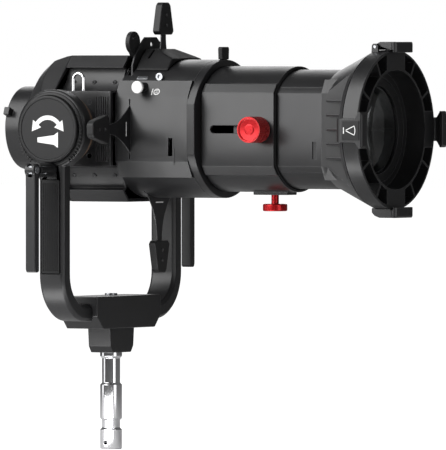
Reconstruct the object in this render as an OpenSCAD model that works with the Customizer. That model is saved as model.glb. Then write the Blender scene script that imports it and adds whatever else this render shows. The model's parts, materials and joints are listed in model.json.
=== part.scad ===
// Ellipsoidal spotlight: a focusing optical head with four framing shutters, hung in a tilting
// yoke that stands on a 28 mm spigot. Millimetres. +X is the way the beam goes, +Z is up, +Y is
// the left hand of someone standing behind it. The origin is the middle of the spigot's long land,
// and the tilt axis runs along Y, straight above it.

/* [Spigot] */
// Diameter of the lands, which a stand's socket grips
spigot_d = 28; // [26:0.2:30]
// Diameter of the two necks
spigot_neck_d = 23; // [20:0.2:23.2]
// Length of the middle land
spigot_land_h = 45.2; // [36:0.2:56]
// Length of the groove below the middle land
spigot_groove_h = 11.9; // [8:0.1:16]
// Length of the end land
spigot_tip_h = 26; // [20:0.5:34]
// Length of the upper neck
spigot_neck_h = 33.7; // [26:0.1:42]
// Thickness of the collar under the receiver block
spigot_collar_h = 6.3; // [4:0.1:9]
// Diameter of the tenon that runs up into the receiver block
spigot_tenon_d = 16; // [14:0.5:18]
// Diameter of the socket in the spigot's end
spigot_socket_d = 16; // [12:0.2:17]
// Depth of that socket
spigot_socket_h = 36; // [24:1:44]
// Diameter of the cross hole near the spigot's end
spigot_cross_d = 5; // [3:0.5:7]

/* [Yoke base] */
// Size of the receiver block along the beam
receiver_l = 33; // [26:1:44]
// Size of the receiver block across the beam
receiver_w = 61; // [50:1:76]
// Height of the receiver block
receiver_h = 31.2; // [24:0.4:40]
// Size of the base block along the beam
base_l = 54; // [46:1:66]
// Size of the base block across the beam, at its top
base_w = 160; // [132:1:172]
// Height of the base block
base_h = 41.2; // [34:0.4:50]
// Bevel at the base block's lower ends
base_bevel = 15; // [6:1:18]
// Diameter of the bolt through the base block
base_bolt_d = 10; // [8:1:12]

/* [Yoke arms] */
// Clear width between the two arms
arm_gap = 258; // [250:1:310]
// Thickness of an arm
arm_t = 21; // [17:0.5:26]
// Width of an arm
arm_w = 37; // [30:0.5:46]
// Outer radius of the bend at the foot of an arm
arm_bend_r = 60; // [44:1:66]
// Radius of the round head of an arm
arm_head_r = 50; // [44:0.5:56]
// Bevel along the edges of an arm
arm_bevel = 4; // [1:0.5:6]
// Height of the tilt axis above the base block
axis_rise = 212.5; // [205:0.5:260]
// Width of the ribbed pad let into an arm
pad_w = 26; // [16:0.5:27]
// Thickness of that pad
pad_t = 3; // [2:0.5:5]
// Height that the pad stands out of the arm
pad_proud = 1; // [0.5:0.1:1.8]
// Distance from the tilt axis to the pad's upper end
pad_top = 64; // [62:1:80]
// Length of the pad
pad_h = 118; // [80:1:120]

/* [Tilt joint] */
// Diameter of the axle
axle_d = 28; // [20:0.5:30]
// Wall of the bush around the axle
bush_t = 3; // [2:0.5:5]
// Diameter of the hub between the housing and the arm
hub_d = 68; // [52:1:76]
// Diameter of the friction disc
friction_d = 92; // [84:1:96]
// Thickness of the friction disc
friction_t = 5.7; // [4:0.1:7]
// Diameter of the round cap on the outside of an arm
cap_d = 85; // [70:0.5:88]
// Height of that cap
cap_h = 8; // [6:0.5:11]
// Width of the cap's rim
cap_rim = 4; // [3:0.5:7]
// Thickness of the badge disc in the cap
badge_t = 1.8; // [1:0.1:2.4]

/* [Tilt levers] */
// Distance from the tilt axis down to a lever's draw bolt
lever_drop = 51; // [51:0.5:56]
// Distance from the arm's outer face to the lever's pivot
lever_reach = 45; // [38:0.5:56]
// Length of a lever from its pivot to its tip
lever_h = 129; // [90:1:150]
// Width of a lever
lever_w = 14; // [12:0.5:18]
// Thickness of a lever
lever_t = 11; // [8:0.5:13]
// Diameter of the sleeve on the draw bolt
sleeve_d = 18.5; // [15:0.5:23]
// Diameter of the draw bolt
draw_bolt_d = 10; // [8:0.5:11]
// Diameter of the lever's pivot pin
lever_pin_d = 5; // [4:0.5:6]

/* [Housing] */
// Distance from the tilt axis forward to the housing's front face
housing_front = 53; // [50:0.5:60]
// Distance from the tilt axis back to the housing's rear face
housing_rear = 92; // [86:1:110]
// Half the height of the housing
housing_r = 92.7; // [90:0.1:98]
// Half the width of the housing
housing_y = 92; // [88:0.5:96]
// Half the height of a side panel
panel_z = 46; // [42:0.5:50]
// Thickness of a side panel
panel_t = 6; // [4.5:0.5:8]
// Wall of the top and bottom shells
shell_t = 4; // [3:0.5:5]
// Outer diameter of the rear collar
collar_d = 106; // [102:0.5:112]
// Wall of the rear collar
collar_t = 6; // [4:0.5:8]
// Length of the rear collar
collar_l = 34; // [26:0.5:44]
// Thickness of the safety eye's wire
eye_wire = 4; // [3:0.2:5]
// Width of the safety eye, over its wire
eye_w = 19; // [16:0.5:26]
// Height of the safety eye above its ledge
eye_h = 26; // [20:0.5:30]

/* [Gate] */
// Radius of the gate barrel
gate_r = 87.6; // [86:0.1:90]
// Half the width over the gate barrel's flat sides
gate_y = 79; // [78:0.1:81]
// Wall of the gate barrel
gate_t = 4; // [3:0.1:4.4]
// Length of the gate barrel
gate_l = 105.5; // [98:0.5:125]
// Length of the gate's front collar
gate_collar_l = 11.3; // [9:0.1:15]
// Radius of the gate's aperture
aperture_r = 40; // [34:0.5:41]
// Distance between the planes of two shutters
shutter_pitch = 3; // [2.6:0.1:3.4]
// Thickness of a shutter's blade
blade_t = 1.2; // [0.8:0.1:1.5]
// Half the width of a shutter's cutting edge
blade_half_w = 38; // [34:0.5:40]
// Half the width of a shutter's stem
stem_half_w = 6; // [5:0.5:9]
// Width of a shutter grip at its inner end
grip_w = 37; // [30:0.5:44]
// Width of a shutter grip at its outer end
grip_end_w = 21.5; // [18:0.5:28]
// Length of a shutter grip
grip_l = 41; // [34:0.5:48]
// Thickness of a shutter grip
grip_t = 10.4; // [8:0.2:12]
// How far the top shutter is pushed in
top_in = 23; // [4:0.5:32]
// How far the right shutter is pushed in
right_in = 5; // [0:0.5:20]

/* [Accessory slot] */
// Lean of the iris lever from the vertical, towards the right
iris_lean = 21; // [12:1:24]
// Reach of the iris lever from the optical axis
iris_reach = 131; // [124:0.5:140]
// Width of the iris lever's paddle
paddle_w = 28; // [22:0.5:32]
// Height of the saddle around the top slot, above the optical axis
saddle_z = 101; // [98:0.5:103]

/* [Barrel] */
// Radius of the barrel
barrel_r = 79.5; // [79:0.1:81]
// Half the width over the barrel's flat sides
barrel_y = 66.7; // [65.5:0.1:68]
// Length of the barrel
barrel_l = 104.8; // [98:0.2:126]
// Width of the seal ring at each end of the barrel
seal_l = 1.6; // [1:0.1:2.4]
// Height of the focus slot
slot_h = 9.5; // [9:0.1:12]
// Length of the focus slot
slot_l = 81; // [70:0.5:88]
// Diameter of the focus knob
knob_d = 33; // [26:0.5:40]
// Thickness of the focus knob
knob_t = 12; // [9:0.5:14]
// Diameter of the barrel thumbscrew's head
thumb_d = 31; // [24:0.5:36]
// Thickness of the barrel thumbscrew's head
thumb_t = 9.4; // [7:0.2:12]

/* [Lens] */
// Radius of the lens tube
tube_r = 75.3; // [74.4:0.1:76]
// Half the width over the lens tube's flat sides
tube_y = 60; // [59:0.1:61]
// Length of the lens tube that stands out of the barrel at rest
tube_out = 67; // [64:0.5:80]
// Length of the lens tube inside the barrel at rest
tube_in = 62; // [50:0.5:70]
// Length of the bell, from the tube to the front face
bell_l = 70.4; // [66:0.2:78]
// Radius of the bell's flange
flange_r = 100; // [98:0.5:106]
// Width of the flange's rim
flange_l = 21; // [18:0.5:26]
// Radius of the hood in front of the lens
hood_r = 75; // [72:0.5:78]
// Radius of the front lens
front_lens_r = 60; // [56:0.5:61]
// Width of the slot that takes a colour frame
frame_slot = 8; // [6:0.2:10]
// Height of a frame holder above the flange's rim
clip_h = 10.5; // [9:0.5:15]
// Width of a frame holder at its front
clip_w = 46; // [40:0.5:54]
// Width of a frame holder's neck
clip_neck_w = 30; // [24:0.5:34]
// Depth of the lip that holds a colour frame
clip_lip = 3; // [2:0.5:8]

/* [Hidden] */

$fn = 72;
fit = 0.05;         // radial clearance of a running fit
slide = 0.3;        // clearance between pieces that move past each other
seat = 0.1;         // clearance of a piece let into another of the same body
over = 1;           // how far a cutter runs past the face it cuts

// Heights, from the spigot up
tip_z = -spigot_land_h / 2 - spigot_groove_h - spigot_tip_h;
receiver_z = spigot_land_h / 2 + spigot_neck_h + spigot_collar_h;
base_z = receiver_z + receiver_h;
base_top = base_z + base_h;
axis_z = base_top + axis_rise;
run_z = base_z + base_h / 2;

// Distances out from the middle plane, along Y
arm_in = arm_gap / 2;
arm_out = arm_in + arm_t;
arm_mid = arm_in + arm_t / 2;
pivot_y = arm_out + lever_reach;
cap_y = arm_out + cap_h;
axle_r = axle_d / 2;
bush_r = axle_r + fit + bush_t;
thrust_t = 2;
disc_y = arm_in - thrust_t - slide;
hub_y = disc_y - friction_t;
nut_pocket_r = 24;
nut_pocket_h = 8;
nut_y = arm_out - nut_pocket_h;
lever_round = 8.5;

// Stations along X, from the tilt axis forward
gate_x = housing_front;
collar_x = gate_x + gate_l;
barrel_x = collar_x + gate_collar_l + seal_l;
barrel_end = barrel_x + barrel_l;
bell_x = barrel_end + seal_l + tube_out;
front_x = bell_x + bell_l;
flange_x = front_x - flange_l;
clip_x = front_x + frame_slot;
clip_lip_t = 5;
clip_end = clip_x + clip_lip_t;
clip_r = flange_r + clip_h;

// Heights of the raised side pads, and of the ends of their sloping edges
gate_pad_z = 41;
gate_pad_end_z = 61;
barrel_pad_z = 46;
barrel_pad_end_z = 58;

// Gate
gate_wall_t = 2.5;
iris_play = 0.8;
iris_slot_x = gate_x + gate_wall_t + 1.2;
iris_x = iris_slot_x + iris_play;
iris_t = 2.35;
cassette_x = iris_x + iris_t + slide;
iris_slot_end = cassette_x + iris_t + iris_play;
iris_r = 52;
paddle_r = gate_r + 11;
plate_t = 2;
plate_gap = 17;
plate_x = iris_slot_end + 2;
shutter_x = plate_x + plate_t + 3.5;
blade_in_r = aperture_r + 2;
blade_neck_r = 76;
grip_r = 142;
blade_seat = 14;
blade_slot_x = 2;
slot_half_y = 56;

// Focus
knob_x = barrel_end - 20.3;
knob_y = barrel_y + 16.3;
slot_x = knob_x - slot_l + 9.5;
stem_r = 4.4;
thumb_x = barrel_end - 35.8;
thumb_z = 94.2;
thumb_stem_r = 4.75;
rail_z = 83;

// Placing ------------------------------------------------------------------------------------

// Moves to the tilt axis, where it crosses the optical axis
module at_axis() translate([0, 0, axis_z]) children();

// A 2-D shape in Y and Z, drawn from x0 forward
module slab_x(x0, length) {
    translate([x0, 0, 0]) rotate([90, 0, 90]) linear_extrude(length) children();
}

// A 2-D shape in X and Z, drawn across the middle plane
module slab_y(width) rotate([90, 0, 0]) linear_extrude(width, center = true) children();

// A profile of [radius, x] points, turned about the optical axis
module turned_x(points) rotate([90, 0, 90]) rotate_extrude() polygon(points);

// A profile of [radius, y] points, turned about an axis along Y
module turned_y(points) rotate([-90, 0, 0]) rotate_extrude() polygon(points);

// A round bar along Y
module bar_y(radius, from, to) {
    translate([0, from, 0]) rotate([-90, 0, 0]) cylinder(h = to - from, r = radius);
}

// A round bar along X
module bar_x(radius, from, to) {
    translate([from, 0, 0]) rotate([0, 90, 0]) cylinder(h = to - from, r = radius);
}

// The same piece on both sides, or on the right alone
module both_sides() {
    children();
    mirror([0, 1, 0]) children();
}

module right_side() mirror([0, 1, 0]) children();

// Outlines -----------------------------------------------------------------------------------

// A rectangle about the origin with bevelled corners
module bevelled(width, height, bevel) {
    a = width / 2;
    b = height / 2;
    polygon([
        [a, -b + bevel], [a, b - bevel], [a - bevel, b], [-a + bevel, b],
        [-a, b - bevel], [-a, -b + bevel], [-a + bevel, -b], [a - bevel, -b]
    ]);
}

// The section of a barrel: a circle with flat sides, and a raised pad with sloping edges on each
module barrel_section(radius, flat_y, pad_z, pad_end_z, pad_end_y) {
    intersection() {
        circle(r = radius);
        square([2 * flat_y, 2 * radius + over], center = true);
    }
    polygon([
        [flat_y, -pad_z], [flat_y, pad_z], [pad_end_y, pad_end_z], [-pad_end_y, pad_end_z],
        [-flat_y, pad_z], [-flat_y, -pad_z], [-pad_end_y, -pad_end_z], [pad_end_y, -pad_end_z]
    ]);
}

// The section of the lens tube, grown by a clearance
module tube_section(grow) {
    barrel_section(tube_r + grow, tube_y + grow, tube_y * 0.7, tube_y * 0.9 + grow, tube_y - 7 + grow);
}

// The section of a bore with flat sides
module flat_bore(radius, flat_y) {
    intersection() {
        circle(r = radius);
        square([2 * flat_y, 2 * radius + over], center = true);
    }
}

// Spigot and yoke base -----------------------------------------------------------------------

module spigot() {
    land = spigot_d / 2;
    neck = spigot_neck_d / 2;
    tenon = spigot_tenon_d / 2;
    ease = 1.2;
    groove_z = -spigot_land_h / 2 - spigot_groove_h;
    top_land_z = spigot_land_h / 2;
    collar_z = receiver_z - spigot_collar_h;
    color("silver")
    difference() {
        rotate_extrude() polygon([
            [0, tip_z], [land - ease, tip_z], [land, tip_z + ease], [land, groove_z - ease],
            [neck, groove_z + ease], [neck, -top_land_z - ease], [land, -top_land_z + ease],
            [land, top_land_z - ease], [neck, top_land_z + ease], [neck, collar_z - ease],
            [land, collar_z + ease], [land, receiver_z], [tenon, receiver_z],
            [tenon, base_z + (base_h - arm_t) / 2 - over], [0, base_z + (base_h - arm_t) / 2 - over]
        ]);
        translate([0, 0, tip_z - over]) cylinder(h = spigot_socket_h + over, d = spigot_socket_d);
        translate([0, 0, tip_z + 8]) rotate([90, 0, 0]) cylinder(h = spigot_d, d = spigot_cross_d);
        translate([0, 0, base_z - receiver_h / 2]) cylinder(h = base_h, d = base_bolt_d + 2 * seat);
    }
}

module receiver_block() {
    bevel = 8;
    taper = 2;
    a = receiver_w / 2;
    color("dimgray")
    difference() {
        slab_x(-receiver_l / 2, receiver_l) polygon([
            [-a + bevel, receiver_z], [a - bevel, receiver_z], [a - taper, receiver_z + bevel],
            [a, base_z], [-a, base_z], [-a + taper, receiver_z + bevel]
        ]);
        translate([0, 0, receiver_z - over])
            cylinder(h = receiver_h + 2 * over, d = spigot_tenon_d + 2 * seat);
    }
}

module base_block() {
    a = base_w / 2;
    drop = 16;
    color("dimgray")
    difference() {
        slab_x(-base_l / 2, base_l) polygon([
            [-a + base_bevel, base_z], [a - base_bevel, base_z], [a, base_z + drop],
            [a, base_top], [-a, base_top], [-a, base_z + drop]
        ]);
        translate([0, 0, run_z]) rotate([90, 0, 0]) linear_extrude(base_w + over, center = true)
            bevelled(arm_w + 2 * seat, arm_t + 2 * seat, arm_bevel);
        translate([0, 0, base_z - over]) cylinder(h = base_h / 2, d = spigot_tenon_d + 2 * seat);
        translate([0, 0, run_z]) cylinder(h = base_h, d = base_bolt_d + 2 * seat);
    }
}

module base_bolt() {
    head_d = base_bolt_d * 1.6;
    head_h = 3;
    color("black") {
        translate([0, 0, base_z - receiver_h / 2 + over])
            cylinder(h = base_top - base_z + receiver_h / 2 - over, d = base_bolt_d);
        translate([0, 0, base_top]) cylinder(h = head_h, d = head_d);
    }
}

// Yoke arms ----------------------------------------------------------------------------------

// One arm, on the left: half of the run through the base block, a bend, an upright and a head
module arm() {
    bend_y = arm_out - arm_bend_r;
    bend_z = run_z - arm_t / 2 + arm_bend_r;
    middle_gap = 2 + spigot_tenon_d / 2;
    ease = 2.5;
    head = arm_head_r;
    difference() {
        union() {
            translate([0, middle_gap, run_z]) rotate([-90, 0, 0]) linear_extrude(bend_y - middle_gap)
                bevelled(arm_w, arm_t, arm_bevel);
            translate([0, bend_y, bend_z]) rotate([90, 0, 90]) rotate([0, 0, -90])
                rotate_extrude(angle = 90) translate([arm_bend_r - arm_t / 2, 0])
                bevelled(arm_t, arm_w, arm_bevel);
            translate([0, arm_mid, bend_z]) linear_extrude(axis_z - bend_z)
                bevelled(arm_w, arm_t, arm_bevel);
            at_axis() turned_y([
                [0, arm_in], [head - ease, arm_in], [head, arm_in + ease],
                [head, arm_out - ease], [head - ease, arm_out], [0, arm_out]
            ]);
        }
        at_axis() bar_y(bush_r + fit, arm_in - over, arm_out);
        at_axis() bar_y(nut_pocket_r, nut_y, arm_out + over);
        translate([0, 0, axis_z - lever_drop]) bar_y(draw_bolt_d / 2 + fit, arm_in - over, arm_out + over);
        pad_pocket(seat);
    }
}

// The space that a pad takes in the left arm, grown by a clearance
module pad_pocket(grow) {
    translate([-pad_w / 2 - grow, arm_out + pad_proud - pad_t, axis_z - pad_top - pad_h - grow])
        cube([pad_w + 2 * grow, pad_t, pad_h + 2 * grow]);
}

module arm_left() color("dimgray") arm();

module arm_right() color("dimgray") right_side() arm();

module arm_pads() color("black") both_sides() pad_pocket(0);

module axle_bushes() {
    inner = axle_r + fit;
    flange = nut_pocket_r;
    color("goldenrod")
    both_sides() at_axis() turned_y([
        [inner, arm_in - thrust_t], [flange, arm_in - thrust_t], [flange, arm_in],
        [bush_r, arm_in], [bush_r, nut_y], [inner, nut_y]
    ]);
}

// A cap is a shallow cup with a rim, and a flat ring of degree teeth lies around its foot
module tilt_caps() {
    rim = cap_d / 2;
    floor_y = cap_y - badge_t - 0.7;
    ring_t = 2.5;
    color("dimgray")
    both_sides() at_axis() difference() {
        tilt_cap(rim, floor_y, ring_t);
        translate([0, 0, -lever_drop]) bar_y(sleeve_d / 2 + slide, arm_out - over, cap_y + over);
    }
}

module tilt_cap(rim, floor_y, ring_t) {
    union() {
        turned_y([
            [rim - cap_rim, arm_out], [rim, arm_out], [rim, cap_y - 1], [rim - 1, cap_y],
            [rim - cap_rim, cap_y], [rim - cap_rim, floor_y], [0, floor_y], [0, floor_y - 2],
            [rim - cap_rim, floor_y - 2]
        ]);
        turned_y([
            [rim + seat, arm_out], [arm_head_r - 3, arm_out], [arm_head_r - 3, arm_out + 1],
            [arm_head_r - 3 - ring_t, arm_out + ring_t], [rim + seat, arm_out + ring_t]
        ]);
    }
}

module cap_badges() {
    badge_r = cap_d / 2 - cap_rim - seat;
    color("black")
    both_sides() at_axis() bar_y(badge_r, cap_y - badge_t - 0.7, cap_y - 0.7);
}

// Tilt lock ----------------------------------------------------------------------------------

module clamp_bosses() {
    color("black")
    both_sides() translate([0, 0, axis_z - lever_drop]) difference() {
        bar_y(sleeve_d / 2, arm_out, pivot_y - lever_round - slide);
        bar_y(draw_bolt_d / 2 + seat, arm_out - over, pivot_y);
    }
}

// A draw bolt has a brake pad at its inner end and a flat eye at its outer end
module draw_bolts() {
    pad_r = 12;
    eye_t = 6;
    eye_r = 6.5;
    color("gray")
    both_sides() translate([0, 0, axis_z - lever_drop]) difference() {
        union() {
            bar_y(draw_bolt_d / 2, arm_in, pivot_y - lever_round);
            bar_y(pad_r, arm_in - thrust_t, arm_in);
            translate([0, pivot_y, 0]) {
                bar_x(eye_r, -eye_t / 2, eye_t / 2);
                translate([-eye_t / 2, -lever_round, -draw_bolt_d / 2])
                    cube([eye_t, lever_round, draw_bolt_d]);
            }
        }
        translate([0, pivot_y, 0]) bar_x(lever_pin_d / 2 + seat, -pad_r, pad_r);
    }
}

module lever_pins() {
    color("silver")
    both_sides() translate([0, pivot_y, axis_z - lever_drop])
        bar_x(lever_pin_d / 2, -lever_w / 2, lever_w / 2);
}

// One lever, on the left: a forked round top, and a blade that thins towards its tip
module lever() {
    slot_w = 6 + 2 * slide;
    slot_h = 9;
    thin = 2;
    color("dimgray")
    translate([0, pivot_y, axis_z - lever_drop]) difference() {
        union() {
            bar_x(lever_round, -lever_w / 2, lever_w / 2);
            slab_x(-lever_w / 2, lever_w) polygon([
                [-lever_t / 2, 0], [-lever_t / 2, -lever_h + 2], [-lever_t / 2 + thin, -lever_h],
                [lever_t / 2 - thin, -lever_h], [lever_t / 2, -lever_h + 4], [lever_t / 2, 0]
            ]);
        }
        bar_x(lever_pin_d / 2 + fit, -lever_w, lever_w);
        translate([-slot_w / 2, -lever_round - over, -slot_h])
            cube([slot_w, 2 * lever_round, slot_h + lever_round + over]);
        translate([-lever_w, lever_t / 2, -lever_h - over]) rotate([-0.9, 0, 0]) cube([2 * lever_w, 9, 60]);
    }
}

module lever_left() lever();

module lever_right() right_side() lever();

// Tilt hubs ----------------------------------------------------------------------------------

module hub() {
    thread_r = 8;
    chamfer = 1;
    color("dimgray")
    at_axis() turned_y([
        [0, housing_y], [hub_d / 2, housing_y], [hub_d / 2, hub_y - chamfer],
        [hub_d / 2 - chamfer, hub_y], [axle_r, hub_y], [axle_r, nut_y],
        [thread_r, nut_y], [thread_r, arm_out], [0, arm_out]
    ]);
}

module hub_left() hub();

module hub_right() right_side() hub();

module friction_discs() {
    color("saddlebrown")
    both_sides() at_axis() turned_y([
        [axle_r + seat, hub_y], [friction_d / 2, hub_y], [friction_d / 2, disc_y],
        [axle_r + seat, disc_y]
    ]);
}

// A washer and a hexagon nut hold each axle in its arm
module axle_nuts() {
    washer_t = 1.6;
    nut_r = 13.8;
    nut_h = 6;
    thread_r = 8 + seat;
    color("silver")
    both_sides() at_axis() difference() {
        union() {
            bar_y(20, nut_y + slide, nut_y + slide + washer_t);
            translate([0, nut_y + slide + washer_t, 0]) rotate([-90, 0, 0])
                cylinder(h = nut_h, r = nut_r, $fn = 6);
        }
        bar_y(thread_r, arm_in, cap_y);
    }
}

// Housing ------------------------------------------------------------------------------------

ledge_y = housing_y - 20;    // inner edge of the ledge over a panel
recess_y = housing_y - 32;   // bottom of the recess above that ledge
waist_y = housing_y - 38;    // top of the recess, under the band
band_y = housing_y - 31;     // lower edge of the sloping band
flat_y = housing_y - 45;     // edge of the flat top
ledge_t = 3;

// Half of the housing's outline above the side panel, as [y, z] points. It runs from the ledge
// over the panel, up the recess and around the sloping band to the flat top.
roof_outside = [
    [housing_y, panel_z], [housing_y, panel_z + ledge_t - 1], [ledge_y, panel_z + ledge_t],
    [recess_y, panel_z + 14], [waist_y, housing_r - 18], [band_y, housing_r - 15],
    [flat_y, housing_r]
];

// The same, along the inside of the shell
roof_inside = [
    [ledge_y - shell_t, panel_z - over], [ledge_y - shell_t, panel_z + over],
    [recess_y - shell_t, panel_z + 13], [waist_y - shell_t, housing_r - 18],
    [band_y - 1.5 * shell_t, housing_r - 13.5], [flat_y - shell_t / 2, housing_r - shell_t]
];

function flipped(points) = [for (i = [len(points) - 1:-1:0]) [-points[i][0], points[i][1]]];

// A block with a symmetric outline of which one half is given
module roof_block(half, x0, x1) {
    slab_x(x0, x1 - x0) polygon(concat(half, flipped(half)));
}

joint_x = -30;      // where the rear cover meets the shells and panels
rear_pad_x = 4;     // thickness of the rear cover's end wall

module housing_shell() {
    difference() {
        roof_block(roof_outside, joint_x, housing_front);
        roof_block(roof_inside, joint_x - over, housing_front + over);
    }
}

eye_y = -housing_y + 11;

module housing_top() {
    leg_x = (eye_w - eye_wire) / 2;
    color("dimgray")
    at_axis() difference() {
        housing_shell();
        for (x = [-leg_x, leg_x])
            translate([x, eye_y, panel_z - over]) cylinder(h = 10, d = eye_wire + 2 * seat);
    }
}

module housing_bottom() {
    color("dimgray")
    at_axis() mirror([0, 0, 1]) housing_shell();
}

// A panel closes one side of the housing, and its front part is cut into upright vents
module panel() {
    vent_w = 1.6;
    vents = 6;
    vent_x = 30;
    pitch = (housing_front - vent_x) / (vents + 1);
    color("dimgray")
    at_axis() difference() {
        translate([joint_x, housing_y - panel_t, -panel_z])
            cube([housing_front - joint_x, panel_t, 2 * panel_z]);
        for (i = [1:vents])
            translate([vent_x + pitch * i - vent_w / 2, housing_y - 2, -panel_z + 5])
                cube([vent_w, panel_t, 2 * panel_z - 10]);
        screw_places() bar_y(3.2 + seat, housing_y - panel_t - over, housing_y + over);
    }
}

module screw_places() {
    for (x = [-22, 22], z = [-34, 34])
        translate([x, 0, z]) children();
}

module panel_left() panel();

module panel_right() right_side() panel();

module panel_screws() {
    color("black")
    both_sides() at_axis() screw_places() bar_y(3.2, housing_y - panel_t, housing_y - 0.5);
}

// The rear cover narrows back to the collar: an octagon, cut by a side, a top and a round taper
module rear_block(inset) {
    back = -housing_rear + (inset > 0 ? rear_pad_x : 0);
    a = housing_y - inset;
    r = housing_r - inset;
    intersection() {
        slab_x(back, joint_x - back + inset) polygon([
            [a, -panel_z], [a, panel_z], [a - 31, r - 15], [a - 45, r], [45 - a, r], [31 - a, r - 15],
            [-a, panel_z], [-a, -panel_z], [31 - a, 15 - r], [45 - a, -r], [a - 45, -r], [a - 31, 15 - r]
        ]);
        slab_y(3 * housing_y) polygon([
            [joint_x + inset, -r], [joint_x + inset, r], [joint_x - 6, r - 1], [joint_x - 20, r - 6],
            [joint_x - 38, r - 15], [joint_x - 50, r - 26], [-housing_rear, r - 39],
            [-housing_rear, 39 - r], [joint_x - 50, 26 - r], [joint_x - 38, 15 - r],
            [joint_x - 20, 6 - r], [joint_x - 6, 1 - r]
        ]);
        turned_x([
            [0, -housing_rear], [r - 31, -housing_rear], [r - 10, joint_x - 45], [r + 8, joint_x - 22],
            [r + 14, joint_x + inset], [0, joint_x + inset]
        ]);
    }
}

module rear_cover() {
    color("dimgray")
    at_axis() difference() {
        rear_block(0);
        rear_block(shell_t);
        bar_x(collar_d / 2 - collar_t, -housing_rear - over, joint_x);
    }
}

module rear_collar() {
    outer = collar_d / 2;
    inner = outer - collar_t;
    end = -housing_rear - collar_l;
    lug = 10;
    lug_l = 8;
    first_lug = 69;
    color("dimgray")
    at_axis() {
        turned_x([
            [inner, end], [outer - 1, end], [outer, end + 1], [outer, -housing_rear], [inner, -housing_rear]
        ]);
        for (turn = [0, 120, 240])
            rotate([first_lug + turn, 0, 0]) translate([end + 2, -lug / 2, outer - 1])
                cube([lug_l, lug, lug + 1]);
    }
}

module safety_eye() {
    radius = (eye_w - eye_wire) / 2;
    foot_z = panel_z + seat;
    arch_z = panel_z + eye_h - radius - eye_wire / 2;
    color("silver")
    at_axis() translate([0, eye_y, 0]) {
        for (side = [-radius, radius])
            translate([side, 0, foot_z]) cylinder(h = arch_z - foot_z, d = eye_wire);
        translate([0, 0, arch_z]) rotate([90, 0, 0])
            rotate_extrude(angle = 180) translate([radius, 0]) circle(d = eye_wire);
    }
}

// Condenser ----------------------------------------------------------------------------------

condenser_r = 60;   // outside of the tube that carries the condenser lenses
condenser_t = 3;
ring_l = 3;

lens_rim = 4;       // flat rim around a lens, which its ring presses on

// A lens profile of [radius, x] points: a flat rim, and inside it a bulge to each side
function lens_points(radius, x, edge, back, front) = let (clear_r = radius - lens_rim, steps = 12) concat(
    [for (i = [0:steps]) [clear_r * i / steps, x - edge / 2 - back * (1 - pow(i / steps, 2))]],
    [[radius, x - edge / 2], [radius, x + edge / 2]],
    [for (i = [steps:-1:0]) [clear_r * i / steps, x + edge / 2 + front * (1 - pow(i / steps, 2))]]
);

condenser_x = [-64, 8];

module condenser_tube() {
    inner = condenser_r - condenser_t;
    color("gray")
    at_axis() {
        difference() {
            bar_x(condenser_r, condenser_x[0] - 10, gate_x + gate_wall_t);
            bar_x(inner, condenser_x[0] - 10 - over, plate_x);
        }
        for (x = condenser_x, side = [-1, 1])
            translate([x + side * (3 + ring_l / 2) - ring_l / 2, 0, 0]) difference() {
                bar_x(inner, 0, ring_l);
                bar_x(inner - 4, -over, ring_l + over);
            }
    }
}

module condenser_lenses() {
    radius = condenser_r - condenser_t - seat;
    color("lightblue")
    at_axis() {
        turned_x(lens_points(radius, condenser_x[0], 6, 0, 12));
        turned_x(lens_points(radius, condenser_x[1], 6, 12, 0));
    }
}

// Gate ---------------------------------------------------------------------------------------

plunger_x = 91;
plunger_z = 53;
plunger_r = 3;
side_screw_x = 108;
side_screw_z = 66;
side_screw_r = 2.5;
side_screw_head_r = 5;

// Places a shutter: the direction it is pulled, its plane along X, and how far it is pushed in
module shutter_place(turn, plane, pushed) {
    at_axis() rotate([turn, 0, 0]) translate([shutter_x + plane * shutter_pitch, 0, -pushed]) children();
}

module blade_slot(turn, plane) {
    shutter_place(turn, plane, 0)
        translate([-blade_slot_x / 2, -blade_half_w - slide, blade_neck_r - 8])
        cube([blade_slot_x, 2 * blade_half_w + 2 * slide, 34]);
}

module gate_barrel() {
    inner = gate_r - gate_t;
    boss_r = 6;
    color("dimgray")
    difference() {
        at_axis() union() {
            difference() {
                slab_x(gate_x, gate_l) barrel_section(gate_r, gate_y, gate_pad_z, gate_pad_end_z, gate_y - 11);
                slab_x(gate_x + gate_wall_t, gate_l) flat_bore(inner, gate_y - gate_t);
                bar_x(condenser_r + seat, gate_x - over, gate_x + gate_l);
            }
            translate([plunger_x, 0, plunger_z])
                bar_y(boss_r, -gate_y - 4, -gate_y + gate_t + 9);
        }
        at_axis() translate([iris_slot_x, -slot_half_y, condenser_r])
            cube([iris_slot_end - iris_slot_x, 2 * slot_half_y, gate_r]);
        at_axis() translate([plunger_x, 0, plunger_z]) bar_y(plunger_r + fit, -gate_y - 6, -condenser_r);
        at_axis() translate([side_screw_x, 0, side_screw_z]) {
            bar_y(side_screw_head_r + slide, -gate_r, -60);
            bar_y(side_screw_r + seat, -gate_r, -44);
        }
        blade_slot(180, 0);
        blade_slot(90, 1);
        blade_slot(0, 2);
        blade_slot(270, 3);
    }
}

// Two plates with the round aperture hold the shutters between them
module gate_plates() {
    color("silver")
    at_axis() for (x = [plate_x, plate_x + plate_gap])
        difference() {
            slab_x(x, plate_t) flat_bore(gate_r - gate_t - seat, gate_y - gate_t - seat);
            bar_x(aperture_r, x - over, x + plate_t + over);
        }
}

module gate_collar() {
    latch_l = 4 + 2 * slide;
    latch_w = 12 + 2 * slide;
    color("dimgray")
    at_axis() difference() {
        slab_x(collar_x, gate_collar_l) flat_bore(gate_r, gate_y + 3);
        slab_x(collar_x - over, gate_collar_l + 2 * over) tube_section(1.5);
        translate([latch_x() - latch_l / 2, -latch_w / 2, tube_r + 3]) cube([latch_l, latch_w, gate_r]);
    }
}

function latch_x() = collar_x + gate_collar_l - 4.5;

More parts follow.
